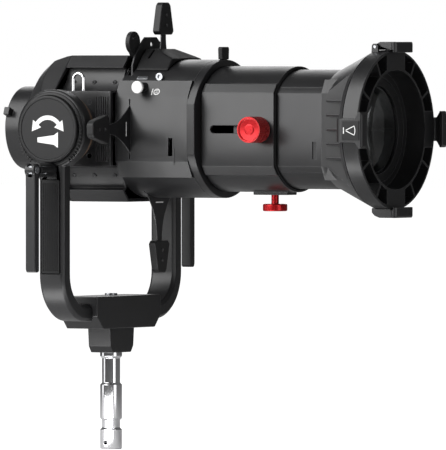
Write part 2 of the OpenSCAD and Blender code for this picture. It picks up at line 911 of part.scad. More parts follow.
// A moulded saddle lies over the top slot and slopes down to the barrel in front of it
module slot_saddle() {
    back = plate_x - 0.5;
    crest = back + 17;
    front = back + 47;
    half_y = 48;
    foot = 60;
    color("black")
    difference() {
        at_axis() intersection() {
            slab_y(2 * half_y) polygon([
                [back, foot], [back, saddle_z], [crest, saddle_z], [front, gate_r + 1], [front, foot]
            ]);
            slab_x(back, front - back) polygon([
                [-half_y, foot], [-half_y, 76], [-34, 92], [-22, saddle_z], [22, saddle_z],
                [34, 92], [half_y, 76], [half_y, foot]
            ]);
        }
        at_axis() bar_x(gate_r + seat, back - over, front + over);
        at_axis() translate([back - over, -half_y - over, 0]) cube([front, 2 * half_y + 2 * over, 74]);
        shutter_place(0, 2, 0) translate([-blade_slot_x / 2, -half_y + 12, blade_neck_r])
            cube([blade_slot_x, 2 * half_y - 24, 60]);
    }
}

module slot_screw() {
    color("silver")
    at_axis() translate([side_screw_x, 0, side_screw_z]) {
        bar_y(side_screw_head_r, -64, -60);
        bar_y(side_screw_r, -60, -50);
    }
}

// Shutters -----------------------------------------------------------------------------------

// Half the width of a blade at a distance past its neck: it falls fast, and then slowly
function blade_width(t) = stem_half_w + (blade_half_w - stem_half_w) * pow(1 - t, 2.2);

module blade() {
    steps = 10;
    neck_l = grip_r - blade_neck_r;
    side = [for (i = [0:steps]) [blade_width(i / steps), blade_neck_r + neck_l * i / steps]];
    tail = [[stem_half_w, grip_r + blade_seat], [-stem_half_w, grip_r + blade_seat]];
    edge = [[-blade_half_w, blade_in_r], [blade_half_w, blade_in_r]];
    slab_x(-blade_t / 2, blade_t) polygon(concat(edge, side, tail, flipped(side)));
}

module grip() {
    a = grip_w / 2;
    b = grip_end_w / 2;
    corner = 4;
    difference() {
        slab_x(-grip_t / 2, grip_t) polygon([
            [-a + corner, grip_r], [a - corner, grip_r], [a, grip_r + corner],
            [b, grip_r + grip_l - corner], [b - corner, grip_r + grip_l],
            [corner - b, grip_r + grip_l], [-b, grip_r + grip_l - corner], [-a, grip_r + corner]
        ]);
        translate([-blade_t / 2 - seat, -stem_half_w - seat, grip_r - over])
            cube([blade_t + 2 * seat, 2 * stem_half_w + 2 * seat, blade_seat + over + seat]);
    }
}

module blade_top() color("lightgray") shutter_place(0, 2, top_in) blade();

module grip_top() color("black") shutter_place(0, 2, top_in) grip();

module blade_bottom() color("lightgray") shutter_place(180, 0, 0) blade();

module grip_bottom() color("black") shutter_place(180, 0, 0) grip();

module blade_left() color("lightgray") shutter_place(270, 3, 0) blade();

module grip_left() color("black") shutter_place(270, 3, 0) grip();

module blade_right() color("lightgray") shutter_place(90, 1, right_in) blade();

module grip_right() color("black") shutter_place(90, 1, right_in) grip();

// Drop-in iris -------------------------------------------------------------------------------

// The cassette is a ring that hangs in the slot from a broad pull tab with a small hole
module iris_cassette() {
    tab_top = 116;
    bore = 41;
    hole_r = 3;
    wide = slot_half_y - 4;
    color("black")
    at_axis() translate([cassette_x, 0, 0]) difference() {
        union() {
            bar_x(iris_r, 0, iris_t);
            slab_x(0, iris_t) polygon([
                [-wide, 0], [-wide, 80], [-46, 92], [-27, 111], [-20, tab_top], [8, tab_top],
                [14, 112], [34, 98], [46, 88], [wide, 80], [wide, 0]
            ]);
        }
        bar_x(bore, -over, iris_t + over);
        translate([0, -4, tab_top - 9]) bar_x(hole_r, -over, iris_t + over);
    }
}

// The lever is a ring behind the cassette, with an arm that ends in a thick moulded paddle
module iris_lever() {
    half = 7;
    tip_r = paddle_w / 2;
    tip_z = iris_reach - tip_r;
    hole_r = 2.6;
    paddle_t = iris_x + iris_t - gate_x - 0.6;
    color("black")
    at_axis() translate([iris_x, 0, 0]) difference() {
        union() {
            bar_x(iris_r - 2, 0, iris_t);
            rotate([iris_lean, 0, 0]) {
                slab_x(0, iris_t) polygon([[-half, 0], [half, 0], [half, tip_z], [-half, tip_z]]);
                slab_x(iris_t - paddle_t, paddle_t) polygon([
                    [-half, paddle_r], [half, paddle_r], [tip_r - 0.5, tip_z], [0.5 - tip_r, tip_z]
                ]);
                translate([0, 0, tip_z]) bar_x(tip_r, iris_t - paddle_t, iris_t);
            }
        }
        bar_x(iris_r - 10, -over, iris_t + over);
        rotate([iris_lean, 0, 0]) translate([0, 0, tip_z + 6]) bar_x(hole_r, -paddle_t, iris_t + over);
    }
}

// Small controls -----------------------------------------------------------------------------

module slot_plunger() {
    button_r = 7.9;
    out = gate_y + 8;
    color("white")
    at_axis() translate([plunger_x, 0, plunger_z]) {
        bar_y(plunger_r, -out, -gate_y + gate_t + 5);
        bar_y(button_r, -out - 4, -out);
    }
}

module barrel_latch() {
    foot = gate_r + slide;
    top = 103.7;
    color("black")
    at_axis() {
        translate([latch_x(), 0, 0]) rotate([0, 0, 90]) slab_y(6) polygon([
            [-8.5, foot], [8.5, foot], [9.3, top - 2], [7.5, top], [-7.5, top], [-9.3, top - 2]
        ]);
        translate([latch_x() - 2, -6, tube_r + 4]) cube([4, 12, foot - tube_r - 4]);
    }
}

// Barrel -------------------------------------------------------------------------------------

module barrel() {
    rail_l = 50;
    rail_w = 24;
    color("dimgray")
    at_axis() difference() {
        union() {
            slab_x(barrel_x, barrel_l) barrel_section(barrel_r, barrel_y, barrel_pad_z, barrel_pad_end_z, barrel_y - 9);
            translate([thumb_x - rail_l / 2, -rail_w / 2, -rail_z]) cube([rail_l, rail_w, 8]);
        }
        slab_x(barrel_x - over, barrel_l + 2 * over) tube_section(slide);
        translate([slot_x + slot_h / 2, -barrel_r, -slot_h / 2]) cube([slot_l - slot_h, 30, slot_h]);
        for (x = [slot_x + slot_h / 2, slot_x + slot_l - slot_h / 2])
            translate([x, 0, 0]) bar_y(slot_h / 2, -barrel_r, -barrel_r + 30);
        translate([thumb_x, 0, -rail_z - over]) cylinder(h = 20, r = thumb_stem_r + fit);
    }
}

module barrel_seals() {
    color("black")
    at_axis() for (x = [barrel_x - seal_l, barrel_end])
        difference() {
            slab_x(x, seal_l) flat_bore(barrel_r - 1.6, barrel_y - 1.6);
            slab_x(x - over, seal_l + 2 * over) tube_section(slide);
        }
}

module thumbscrew() {
    r = thumb_d / 2;
    ease = 1;
    tip = tube_r + 2 * slide;
    color("firebrick")
    at_axis() translate([thumb_x, 0, 0]) rotate_extrude() polygon([
        [0, -thumb_z - thumb_t], [r - ease, -thumb_z - thumb_t], [r, -thumb_z - thumb_t + ease],
        [r, -thumb_z - ease], [r - ease, -thumb_z], [thumb_stem_r, -thumb_z],
        [thumb_stem_r, -tip], [0, -tip]
    ]);
}

// Lens body ----------------------------------------------------------------------------------

module lens_tube() {
    start = barrel_end - tube_in;
    wall = 3.6;
    color("dimgray")
    at_axis() difference() {
        slab_x(start, bell_x - start) tube_section(0);
        slab_x(start - over, bell_x - start + 2 * over) flat_bore(tube_r - wall, tube_y - wall);
        translate([knob_x, 0, 0]) bar_y(stem_r + seat, -tube_y - over, 0);
    }
}

// Outer radius of the bell's cone at a distance in front of the tube
cone_start = 76.5;
cone_end = flange_r - 1;
lens_seat_x = bell_l - 43;

module bell() {
    bore = tube_y - 3.6;
    seat_r = front_lens_r + seat;
    cone_l = bell_l - flange_l - 2;
    flat_y = 66;
    color("dimgray")
    at_axis() difference() {
        union() {
            intersection() {
                turned_x([
                    [0, bell_x], [cone_start, bell_x], [cone_end, bell_x + cone_l], [0, bell_x + cone_l]
                ]);
                translate([bell_x, -flat_y, -flange_r]) cube([cone_l, 2 * flat_y, 2 * flange_r]);
            }
            slab_x(bell_x, cone_l - 5) polygon([
                [flat_y, -46], [flat_y, 46], [flat_y - 9, 63], [9 - flat_y, 63],
                [-flat_y, 46], [-flat_y, -46], [9 - flat_y, -63], [flat_y - 9, -63]
            ]);
            turned_x([
                [0, bell_x + cone_l - 6], [cone_end - 3, bell_x + cone_l - 6], [cone_end, bell_x + cone_l],
                [cone_end - 2, bell_x + cone_l], [cone_end - 2, flange_x], [flange_r, flange_x],
                [flange_r, front_x - 1], [flange_r - 1, front_x], [0, front_x]
            ]);
            gussets(flat_y, cone_l);
            latch_ears();
        }
        translate([latch_pin_x, 0, latch_pin_z]) bar_y(latch_pin_r + seat, -flange_r, flange_r);
        bar_x(bore, bell_x - over, front_x + over);
        bar_x(seat_r, bell_x + lens_seat_x, front_x + over);
        bar_x(seat_r + 7, bell_x + lens_seat_x + 12, front_x + over);
        bar_x(hood_r, front_x - 27, front_x + over);
        pockets();
    }
}

// Two ears on top of the flange's rim carry the frame latch's pin
module latch_ears() {
    ear_t = 4;
    both_sides() translate([0, -clip_neck_w / 2 - slide - ear_t / 2, 0]) slab_y(ear_t) polygon([
        [latch_pin_x - 5, flange_r - 6], [latch_pin_x + 5, flange_r - 6],
        [latch_pin_x + 4, latch_pin_z + 2], [latch_pin_x + 2, latch_pin_z + 4],
        [latch_pin_x - 2, latch_pin_z + 4], [latch_pin_x - 4, latch_pin_z + 2]
    ]);
}

// Thin gussets on each flat side run from the bell's collar out to its flange
module gussets(flat_y, cone_l) {
    rib_t = 2.4;
    reach = 20;
    both_sides() for (z = [-36:18:36])
        translate([0, 0, z - rib_t / 2]) linear_extrude(rib_t) polygon([
            [bell_x + 8, flat_y - 2], [bell_x + cone_l, flat_y - 2],
            [bell_x + cone_l, flat_y + reach], [bell_x + cone_l - 6, flat_y + reach],
            [bell_x + 8, flat_y + 2]
        ]);
}

// Deep pockets in the flange's face leave ribs, and solid blocks under the frame holders
module pockets() {
    rim = 3;
    rib_t = 3;
    difference() {
        turned_x([
            [hood_r + rim, front_x - 30], [cone_end - 10, front_x - 30], [flange_r - rim, front_x - 15],
            [flange_r - rim, front_x + over], [hood_r + rim, front_x + over]
        ]);
        for (turn = [0:90:270]) rotate([turn, 0, 0]) {
            translate([flange_x - 20, -clip_w / 2, 0]) cube([60, clip_w, flange_r]);
            for (rib = [30, 60])
                rotate([rib, 0, 0]) translate([flange_x - 20, -rib_t / 2, 0]) cube([60, rib_t, flange_r]);
        }
    }
}

// Rings that hold the two lenses: a retainer in the bell, and a cell in the tube
module lens_rings() {
    retainer_x = bell_x + lens_seat_x + 12;
    cell_x = barrel_end - tube_in + 8;
    cell_r = tube_y - 3.6 - seat;
    color("black")
    at_axis() {
        difference() {
            bar_x(front_lens_r + 7, retainer_x, retainer_x + 3);
            bar_x(front_lens_r - lens_rim + 2 * seat, retainer_x - over, retainer_x + 4);
        }
        difference() {
            bar_x(cell_r, cell_x, cell_x + 14);
            bar_x(cell_r - 3, cell_x - over, cell_x + 10);
            bar_x(cell_r - 6, cell_x - over, cell_x + 15);
        }
    }
}

module front_lens() {
    edge = 6;
    color("lightblue")
    at_axis() turned_x(lens_points(front_lens_r, bell_x + lens_seat_x + 12 - edge / 2, edge, 5, 8));
}

module rear_lens() {
    edge = 6;
    radius = tube_y - 6.6 - 2 * seat;
    color("lightblue")
    at_axis() turned_x(lens_points(radius, barrel_end - tube_in + 18 - edge / 2, edge, 9, 3));
}

// Frame holders ------------------------------------------------------------------------------

// The front of a frame holder: a wide head whose lip reaches in past the slot
module clip_head() {
    head_l = clip_lip_t + 6;
    bevel = 3;
    a = clip_w / 2;
    intersection() {
        slab_y(clip_w) polygon([
            [clip_end - head_l, flange_r + slide], [clip_x, flange_r + slide],
            [clip_x, flange_r - clip_lip], [clip_end, flange_r - clip_lip],
            [clip_end, clip_r - 2], [clip_end - 2, clip_r], [clip_end - head_l, clip_r]
        ]);
        linear_extrude(clip_r) polygon([
            [clip_end - head_l, -clip_neck_w / 2], [clip_end - head_l + 5, -a],
            [clip_end - bevel, -a], [clip_end, -a + bevel], [clip_end, a - bevel],
            [clip_end - bevel, a], [clip_end - head_l + 5, a], [clip_end - head_l, clip_neck_w / 2]
        ]);
    }
}

// The neck of a fixed frame holder, which is seated on the flange's rim
module clip_neck() {
    slab_y(clip_neck_w) polygon([
        [flange_x - 6, flange_r - 4], [flange_x - 6, flange_r + 4], [flange_x - 2, flange_r + 8],
        [flange_x + 5, clip_r], [clip_end - 6, clip_r], [clip_end - 6, flange_r + slide],
        [front_x, flange_r + slide], [front_x, flange_r - 4]
    ]);
}

module frame_clips() {
    color("dimgray")
    at_axis() difference() {
        for (turn = [90, 180, 270]) rotate([turn, 0, 0]) {
            clip_neck();
            clip_head();
        }
        bar_x(flange_r + seat, flange_x - seat, front_x + seat);
        bar_x(cone_end + seat, flange_x - 10, flange_x + over);
    }
}

module angle_plate() {
    plate_l = 24;
    plate_w = 24;
    label_t = 0.8;
    color("black")
    at_axis() rotate([90, 0, 0]) translate([flange_x + 6, -plate_w / 2, clip_r])
        cube([plate_l, plate_w, label_t]);
}

// The top frame holder turns up about a pin, so that a colour frame can be dropped in
latch_pin_x = flange_x + 1;
latch_pin_z = flange_r + 4.2;
latch_pin_r = 2;

module frame_latch() {
    round_r = latch_pin_z - flange_r - slide;
    color("dimgray")
    at_axis() difference() {
        union() {
            slab_y(clip_neck_w) polygon([
                [latch_pin_x, flange_r + slide], [clip_x, flange_r + slide], [clip_x, clip_r],
                [latch_pin_x + 5, clip_r], [latch_pin_x, latch_pin_z + round_r]
            ]);
            translate([latch_pin_x, 0, latch_pin_z])
                bar_y(round_r, -clip_neck_w / 2, clip_neck_w / 2);
            clip_head();
        }
        translate([latch_pin_x, 0, latch_pin_z]) bar_y(latch_pin_r + fit, -clip_w, clip_w);
    }
}

module latch_pin() {
    reach = clip_neck_w / 2 + slide + 4;
    color("silver")
    at_axis() translate([latch_pin_x, 0, latch_pin_z]) bar_y(latch_pin_r, -reach, reach);
}

// Focus --------------------------------------------------------------------------------------

// The stem stands on the lens tube and runs out through the focus slot, with a washer outside it
module focus_stem() {
    color("gray")
    at_axis() translate([knob_x, 0, 0]) {
        bar_y(stem_r, -knob_y - knob_t + 4, -tube_y + 3);
        difference() {
            bar_y(9, -barrel_y - slide - 2, -barrel_y - slide);
            bar_y(stem_r, -knob_y, 0);
        }
    }
}

module focus_knob() {
    r = knob_d / 2;
    out = knob_y + knob_t;
    dish = 1.6;
    color("red")
    at_axis() translate([knob_x, 0, 0]) mirror([0, 1, 0]) turned_y([
        [stem_r + fit, barrel_y + 2 * slide + 2], [8, barrel_y + 2 * slide + 2], [8, knob_y],
        [r - 1, knob_y], [r, knob_y + 1], [r, out - 1.4], [r - 1.4, out], [r - 4, out],
        [r - 5, out - dish], [0, out - dish], [0, out - 4 + fit], [stem_r + fit, out - 4 + fit]
    ]);
}

spigot();
receiver_block();
base_block();
base_bolt();
arm_left();
arm_right();
arm_pads();
axle_bushes();
tilt_caps();
cap_badges();
clamp_bosses();
draw_bolts();
lever_pins();
lever_left();
lever_right();
hub_left();
hub_right();
friction_discs();
axle_nuts();
housing_top();
housing_bottom();
panel_left();
panel_right();
rear_cover();
rear_collar();
panel_screws();
safety_eye();
condenser_tube();
condenser_lenses();
gate_barrel();
gate_plates();
gate_collar();
slot_saddle();
slot_screw();
barrel();
barrel_seals();
blade_top();
grip_top();
blade_bottom();
grip_bottom();
blade_left();
grip_left();
blade_right();
grip_right();
iris_cassette();
iris_lever();
slot_plunger();
barrel_latch();
lens_tube();
bell();
lens_rings();
front_lens();
rear_lens();
frame_clips();
angle_plate();
focus_stem();
focus_knob();
frame_latch();
latch_pin();
thumbscrew();
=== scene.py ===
"""Ellipsoidal spotlight in its yoke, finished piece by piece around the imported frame. Metres."""

import json
import math

import bpy
from mathutils import Matrix, Vector


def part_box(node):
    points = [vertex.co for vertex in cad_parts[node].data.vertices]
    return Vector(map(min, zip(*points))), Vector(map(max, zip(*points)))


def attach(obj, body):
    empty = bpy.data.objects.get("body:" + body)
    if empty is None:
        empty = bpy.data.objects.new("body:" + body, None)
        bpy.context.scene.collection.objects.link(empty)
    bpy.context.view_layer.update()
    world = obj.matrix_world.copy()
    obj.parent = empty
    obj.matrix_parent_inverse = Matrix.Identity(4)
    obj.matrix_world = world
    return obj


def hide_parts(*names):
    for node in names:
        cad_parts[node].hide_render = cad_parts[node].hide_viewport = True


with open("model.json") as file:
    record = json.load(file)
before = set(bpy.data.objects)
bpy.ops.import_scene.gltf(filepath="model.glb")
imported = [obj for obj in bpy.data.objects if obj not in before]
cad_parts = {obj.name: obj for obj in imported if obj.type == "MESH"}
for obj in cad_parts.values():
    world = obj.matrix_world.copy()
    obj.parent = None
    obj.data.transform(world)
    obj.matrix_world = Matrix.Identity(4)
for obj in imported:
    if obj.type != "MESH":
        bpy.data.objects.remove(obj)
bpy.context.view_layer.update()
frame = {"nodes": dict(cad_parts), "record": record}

# ---------------------------------------------------------------------------------------------
# Camera, floor and lights
# A long lens a little right of the beam's way, almost level with the light. The floor is a
# plain pale sheet. A large soft light stands high on the left, with others around it.
# ---------------------------------------------------------------------------------------------
AXIS_Z = sum(corner.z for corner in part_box("rear_collar")) / 2
VIEW_TURN = math.radians(30)
VIEW_RISE = math.radians(1)
VIEW_DISTANCE = 15.9
AIM = Vector((0.1233, 0.0712, AXIS_Z - 0.1181))

back = Vector((
    math.sin(VIEW_TURN) * math.cos(VIEW_RISE),
    -math.cos(VIEW_TURN) * math.cos(VIEW_RISE),
    math.sin(VIEW_RISE),
))
bpy.ops.object.select_all(action="DESELECT")
bpy.ops.object.camera_add(location=AIM + back * VIEW_DISTANCE)
camera = bpy.context.object
camera.rotation_euler = (-back).to_track_quat("-Z", "Y").to_euler()
camera.data.lens = 1000
camera.data.sensor_width = 36
camera.data.clip_end = 100
bpy.context.scene.camera = camera
bpy.context.scene.view_settings.view_transform = "Standard"


def soft_light(name, place, size, power):
    """A soft rectangular light at a place, turned to face the spotlight."""
    bpy.ops.object.light_add(type="AREA", location=place)
    light = bpy.context.object
    light.name = name
    light.data.shape = "RECTANGLE"
    light.data.size = size[0]
    light.data.size_y = size[1]
    light.data.energy = power
    light.visible_camera = False
    aim = Vector((0.12, 0, AXIS_Z)) - Vector(place)
    light.rotation_euler = aim.to_track_quat("-Z", "Y").to_euler()


soft_light("key_light", (-0.63, -1.3, 1.25), (1.9, 2.1), 52)
soft_light("left_light", (-2.1, -1.0, 0.35), (0.9, 1.9), 6)
soft_light("right_light", (1.9, -0.6, 0.35), (0.9, 1.9), 10)
soft_light("low_light", (0.09, -0.27, -0.05), (0.6, 0.16), 1.6)
soft_light("rear_light", (-1.2, 2.2, 1.4), (1.4, 1.4), 12)

world = bpy.data.worlds.new("pale_room")
bpy.context.scene.world = world
world.use_nodes = True
room = world.node_tree.nodes["Background"]
room.inputs["Color"].default_value = (1, 1, 1, 1)
room.inputs["Strength"].default_value = 0.12
seen = world.node_tree.nodes.new("ShaderNodeBackground")
seen.inputs["Color"].default_value = (1, 1, 1, 1)
seen.inputs["Strength"].default_value = 1.0
path = world.node_tree.nodes.new("ShaderNodeLightPath")
room_mix = world.node_tree.nodes.new("ShaderNodeMixShader")
world_links = world.node_tree.links
world_links.new(path.outputs["Is Camera Ray"], room_mix.inputs[0])
world_links.new(room.outputs[0], room_mix.inputs[1])
world_links.new(seen.outputs[0], room_mix.inputs[2])
world_links.new(room_mix.outputs[0], world.node_tree.nodes["World Output"].inputs["Surface"])

bpy.ops.mesh.primitive_plane_add(size=40, location=(0, 0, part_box("spigot")[0].z - 0.0005))
floor = bpy.context.object
floor.name = "floor"
floor_paint = bpy.data.materials.new("pale_floor")
floor_paint.use_nodes = True
floor_shader = floor_paint.node_tree.nodes["Principled BSDF"]
floor_shader.inputs["Base Color"].default_value = (0.62, 0.62, 0.62, 1)
floor_shader.inputs["Roughness"].default_value = 0.9
floor_glow = floor_paint.node_tree.nodes.new("ShaderNodeEmission")
floor_glow.inputs["Color"].default_value = (1, 1, 1, 1)
floor_seen = floor_paint.node_tree.nodes.new("ShaderNodeLightPath")
floor_lift = floor_paint.node_tree.nodes.new("ShaderNodeMath")
floor_lift.operation = "MULTIPLY"
floor_lift.inputs[1].default_value = 1.0
floor_sum = floor_paint.node_tree.nodes.new("ShaderNodeAddShader")
floor_links = floor_paint.node_tree.links
floor_links.new(floor_seen.outputs["Is Camera Ray"], floor_lift.inputs[0])
floor_links.new(floor_lift.outputs["Value"], floor_glow.inputs["Strength"])
floor_links.new(floor_shader.outputs["BSDF"], floor_sum.inputs[0])
floor_links.new(floor_glow.outputs["Emission"], floor_sum.inputs[1])
floor_end = floor_paint.node_tree.nodes["Material Output"]
floor_links.new(floor_sum.outputs["Shader"], floor_end.inputs["Surface"])
floor.data.materials.append(floor_paint)

# ---------------------------------------------------------------------------------------------
# Spigot
# A turned steel spigot, chromed, with two full-diameter lands and a waist between them. It is
# let into the receiver block, and a stand's screw passes through the small hole near its end.
# ---------------------------------------------------------------------------------------------
BODY_OF = {
    node: body
    for body, nodes in frame["record"]["behaviour"]["bodies"].items()
    for node in nodes
}


def only(piece):
    """Selects one object and makes it the active one."""
    bpy.ops.object.select_all(action="DESELECT")
    piece.select_set(True)
    bpy.context.view_layer.objects.active = piece


def modify(piece, kind, **settings):
    """Adds one modifier to a piece and applies it."""
    only(piece)
    modifier = piece.modifiers.new(kind.lower(), kind)
    for key, value in settings.items():
        setattr(modifier, key, value)
    bpy.ops.object.modifier_apply(modifier=modifier.name)


def soften(piece, edge, segments=2, smooth=35, clamp=False):
    """Rounds a piece's sharp edges and smooths its curved faces."""
    modify(
        piece, "BEVEL", width=edge, segments=segments, limit_method="ANGLE",
        angle_limit=math.radians(28), use_clamp_overlap=clamp, miter_outer="MITER_ARC",
    )
    only(piece)
    bpy.ops.object.shade_smooth_by_angle(angle=math.radians(smooth))
    modify(piece, "WEIGHTED_NORMAL", keep_sharp=True, weight=60)


def copied(node, name):
    """A merged copy of a CAD node's mesh, which stands for that node."""
    piece = frame["nodes"][node].copy()
    piece.data = frame["nodes"][node].data.copy()
    piece.name = name
    bpy.context.collection.objects.link(piece)
    only(piece)
    bpy.ops.object.mode_set(mode="EDIT")
    bpy.ops.mesh.select_all(action="SELECT")
    bpy.ops.mesh.remove_doubles(threshold=0.00001)
    bpy.ops.mesh.dissolve_limited(angle_limit=math.radians(0.6))
    bpy.ops.object.mode_set(mode="OBJECT")
    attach(piece, BODY_OF[node])
    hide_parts(node)
    return piece


def dress(piece, material):
    """Gives a piece one material all over."""
    piece.data.materials.clear()
    piece.data.materials.append(material)


def casting(node, edge, material, segments=2, clamp=False):
    """A CAD node's own shape with rounded edges, in its real finish."""
    piece = copied(node, node + "_finished")
    soften(piece, edge, segments, clamp=clamp)
    dress(piece, material)
    return piece


def finish(name, colour, roughness, metal=0.0, grain=1400, depth=0.00002, vary=0.12,
           worn=None, wear=0.5, stretch=(1, 1, 1), coat=0.0):
    """A coated or bare surface: fine grain, patchy gloss and, where it has it, worn edges."""
    material = bpy.data.materials.new(name)
    material.use_nodes = True
    nodes = material.node_tree.nodes
    links = material.node_tree.links
    shader = nodes["Principled BSDF"]
    shader.inputs["Metallic"].default_value = metal
    shader.inputs["Coat Weight"].default_value = coat
    shader.inputs["Coat Roughness"].default_value = 0.25
    place = nodes.new("ShaderNodeTexCoord")
    mapping = nodes.new("ShaderNodeMapping")
    mapping.inputs["Scale"].default_value = stretch
    links.new(place.outputs["Object"], mapping.inputs["Vector"])

    fine = nodes.new("ShaderNodeTexNoise")
    fine.inputs["Scale"].default_value = grain
    fine.inputs["Detail"].default_value = 3
    links.new(mapping.outputs["Vector"], fine.inputs["Vector"])
    bump = nodes.new("ShaderNodeBump")
    bump.inputs["Distance"].default_value = depth
    bump.inputs["Strength"].default_value = 1.0
    links.new(fine.outputs["Fac"], bump.inputs["Height"])
    links.new(bump.outputs["Normal"], shader.inputs["Normal"])

    broad = nodes.new("ShaderNodeTexNoise")
    broad.inputs["Scale"].default_value = 26
    broad.inputs["Detail"].default_value = 5
    broad.inputs["Roughness"].default_value = 0.6
    links.new(place.outputs["Object"], broad.inputs["Vector"])
    gloss = nodes.new("ShaderNodeMapRange")
    gloss.inputs["From Min"].default_value = 0.3
    gloss.inputs["From Max"].default_value = 0.7
    gloss.inputs["To Min"].default_value = roughness * 0.88
    gloss.inputs["To Max"].default_value = min(1.0, roughness * 1.14)
    links.new(broad.outputs["Fac"], gloss.inputs["Value"])
    links.new(gloss.outputs["Result"], shader.inputs["Roughness"])

    tint = nodes.new("ShaderNodeMix")
    tint.data_type = "RGBA"
    tint.inputs["A"].default_value = (*[c * (1 - vary) for c in colour], 1)
    tint.inputs["B"].default_value = (*[min(1.0, c * (1 + vary)) for c in colour], 1)
    links.new(broad.outputs["Fac"], tint.inputs["Factor"])
    last = tint
    if worn:
        round_normal = nodes.new("ShaderNodeBevel")
        round_normal.samples = 4
        round_normal.inputs["Radius"].default_value = 0.0009
        geometry = nodes.new("ShaderNodeNewGeometry")
        same = nodes.new("ShaderNodeVectorMath")
        same.operation = "DOT_PRODUCT"
        links.new(round_normal.outputs["Normal"], same.inputs[0])
        links.new(geometry.outputs["Normal"], same.inputs[1])
        rim = nodes.new("ShaderNodeMapRange")
        rim.inputs["From Min"].default_value = 0.995
        rim.inputs["From Max"].default_value = 0.9
        rim.inputs["To Min"].default_value = 0.0
        rim.inputs["To Max"].default_value = wear
        links.new(same.outputs["Value"], rim.inputs["Value"])
        patches = nodes.new("ShaderNodeTexNoise")
        patches.inputs["Scale"].default_value = 160
        patches.inputs["Detail"].default_value = 4
        links.new(place.outputs["Object"], patches.inputs["Vector"])
        broken = nodes.new("ShaderNodeMath")
        broken.operation = "MULTIPLY"
        links.new(rim.outputs["Result"], broken.inputs[0])
        links.new(patches.outputs["Fac"], broken.inputs[1])
        rubbed = nodes.new("ShaderNodeMix")
        rubbed.data_type = "RGBA"
        rubbed.inputs["B"].default_value = (*worn, 1)
        links.new(broken.outputs["Value"], rubbed.inputs["Factor"])
        links.new(tint.outputs["Result"], rubbed.inputs["A"])
        last = rubbed
    links.new(last.outputs["Result"], shader.inputs["Base Color"])
    return material


chrome = finish("chrome", (0.9, 0.9, 0.92), 0.055, metal=1.0, grain=900, depth=0.000002, vary=0.03)
casting("spigot", 0.0004, chrome)

# ---------------------------------------------------------------------------------------------
# Yoke base
# Two cast aluminium blocks, black powder-coated: the receiver takes the spigot, and the wide
# block above it clamps the feet of both arms. One flush bolt holds them together.
# ---------------------------------------------------------------------------------------------
GREY_METAL = (0.32, 0.32, 0.33)
powder = finish(
    "black_powder_coat", (0.011, 0.011, 0.0118), 0.34, grain=1300, depth=0.00003, worn=GREY_METAL
)
steel = finish(
    "zinc_steel", (0.42, 0.43, 0.45), 0.3, metal=1.0, grain=700, depth=0.000008,
    stretch=(1, 1, 0.15),
)
casting("receiver_block", 0.001, powder)
casting("base_block", 0.0012, powder)
casting("base_bolt", 0.0005, steel)

# ---------------------------------------------------------------------------------------------
# Yoke arms
# Bent aluminium bars with bevelled edges, powder-coated. Each upright carries a rubber pad
# with fine ribs along it, where a gloved hand holds the yoke.
# ---------------------------------------------------------------------------------------------
casting("arm_left", 0.0011, powder)
casting("arm_right", 0.0011, powder)


def settle(piece, name):
    """Puts a new piece's turn, size and place into its mesh, and points its faces outwards."""
    only(piece)
    piece.name = name
    bpy.ops.object.transform_apply(location=True, rotation=True, scale=True)
    bpy.ops.object.mode_set(mode="EDIT")
    bpy.ops.mesh.select_all(action="SELECT")
    bpy.ops.mesh.remove_doubles(threshold=0.000001)
    bpy.ops.mesh.normals_make_consistent(inside=False)
    bpy.ops.object.mode_set(mode="OBJECT")
    return piece


def pick(piece, test):
    """Opens a piece in edit mode with the faces selected that pass a test."""
    only(piece)
    bpy.context.tool_settings.mesh_select_mode = (False, False, True)
    bpy.ops.object.mode_set(mode="EDIT")
    bpy.ops.mesh.select_all(action="DESELECT")
    bpy.ops.object.mode_set(mode="OBJECT")
    for face in piece.data.polygons:
        face.select = test(face)
    bpy.ops.object.mode_set(mode="EDIT")


def block(name, low, high):
    """A solid box between two corners, as the start of a piece."""
    low = Vector(low)
    high = Vector(high)
    bpy.ops.object.select_all(action="DESELECT")
    bpy.ops.mesh.primitive_cube_add(size=1, location=(low + high) / 2)
    piece = bpy.context.object
    piece.scale = high - low
    return settle(piece, name)


def joined(pieces, name):
    """One object made of several."""
    bpy.ops.object.select_all(action="DESELECT")
    for piece in pieces:
        piece.select_set(True)
    bpy.context.view_layer.objects.active = pieces[0]
    bpy.ops.object.join()
    pieces[0].name = name
    return pieces[0]


rubber = finish("black_rubber", (0.008, 0.008, 0.0085), 0.6, grain=2200, depth=0.00003, vary=0.2)
rubber.node_tree.nodes["Principled BSDF"].inputs["Specular IOR Level"].default_value = 0.25
PAD_RIBS = 9
PAD_GROOVE = 0.0007
pad_low, pad_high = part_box("arm_pads")
rib_pitch = (pad_high.x - pad_low.x) / PAD_RIBS
PAD_T = 0.003
ribs_low = pad_low.z + 0.003
ribs_high = pad_high.z - 0.004

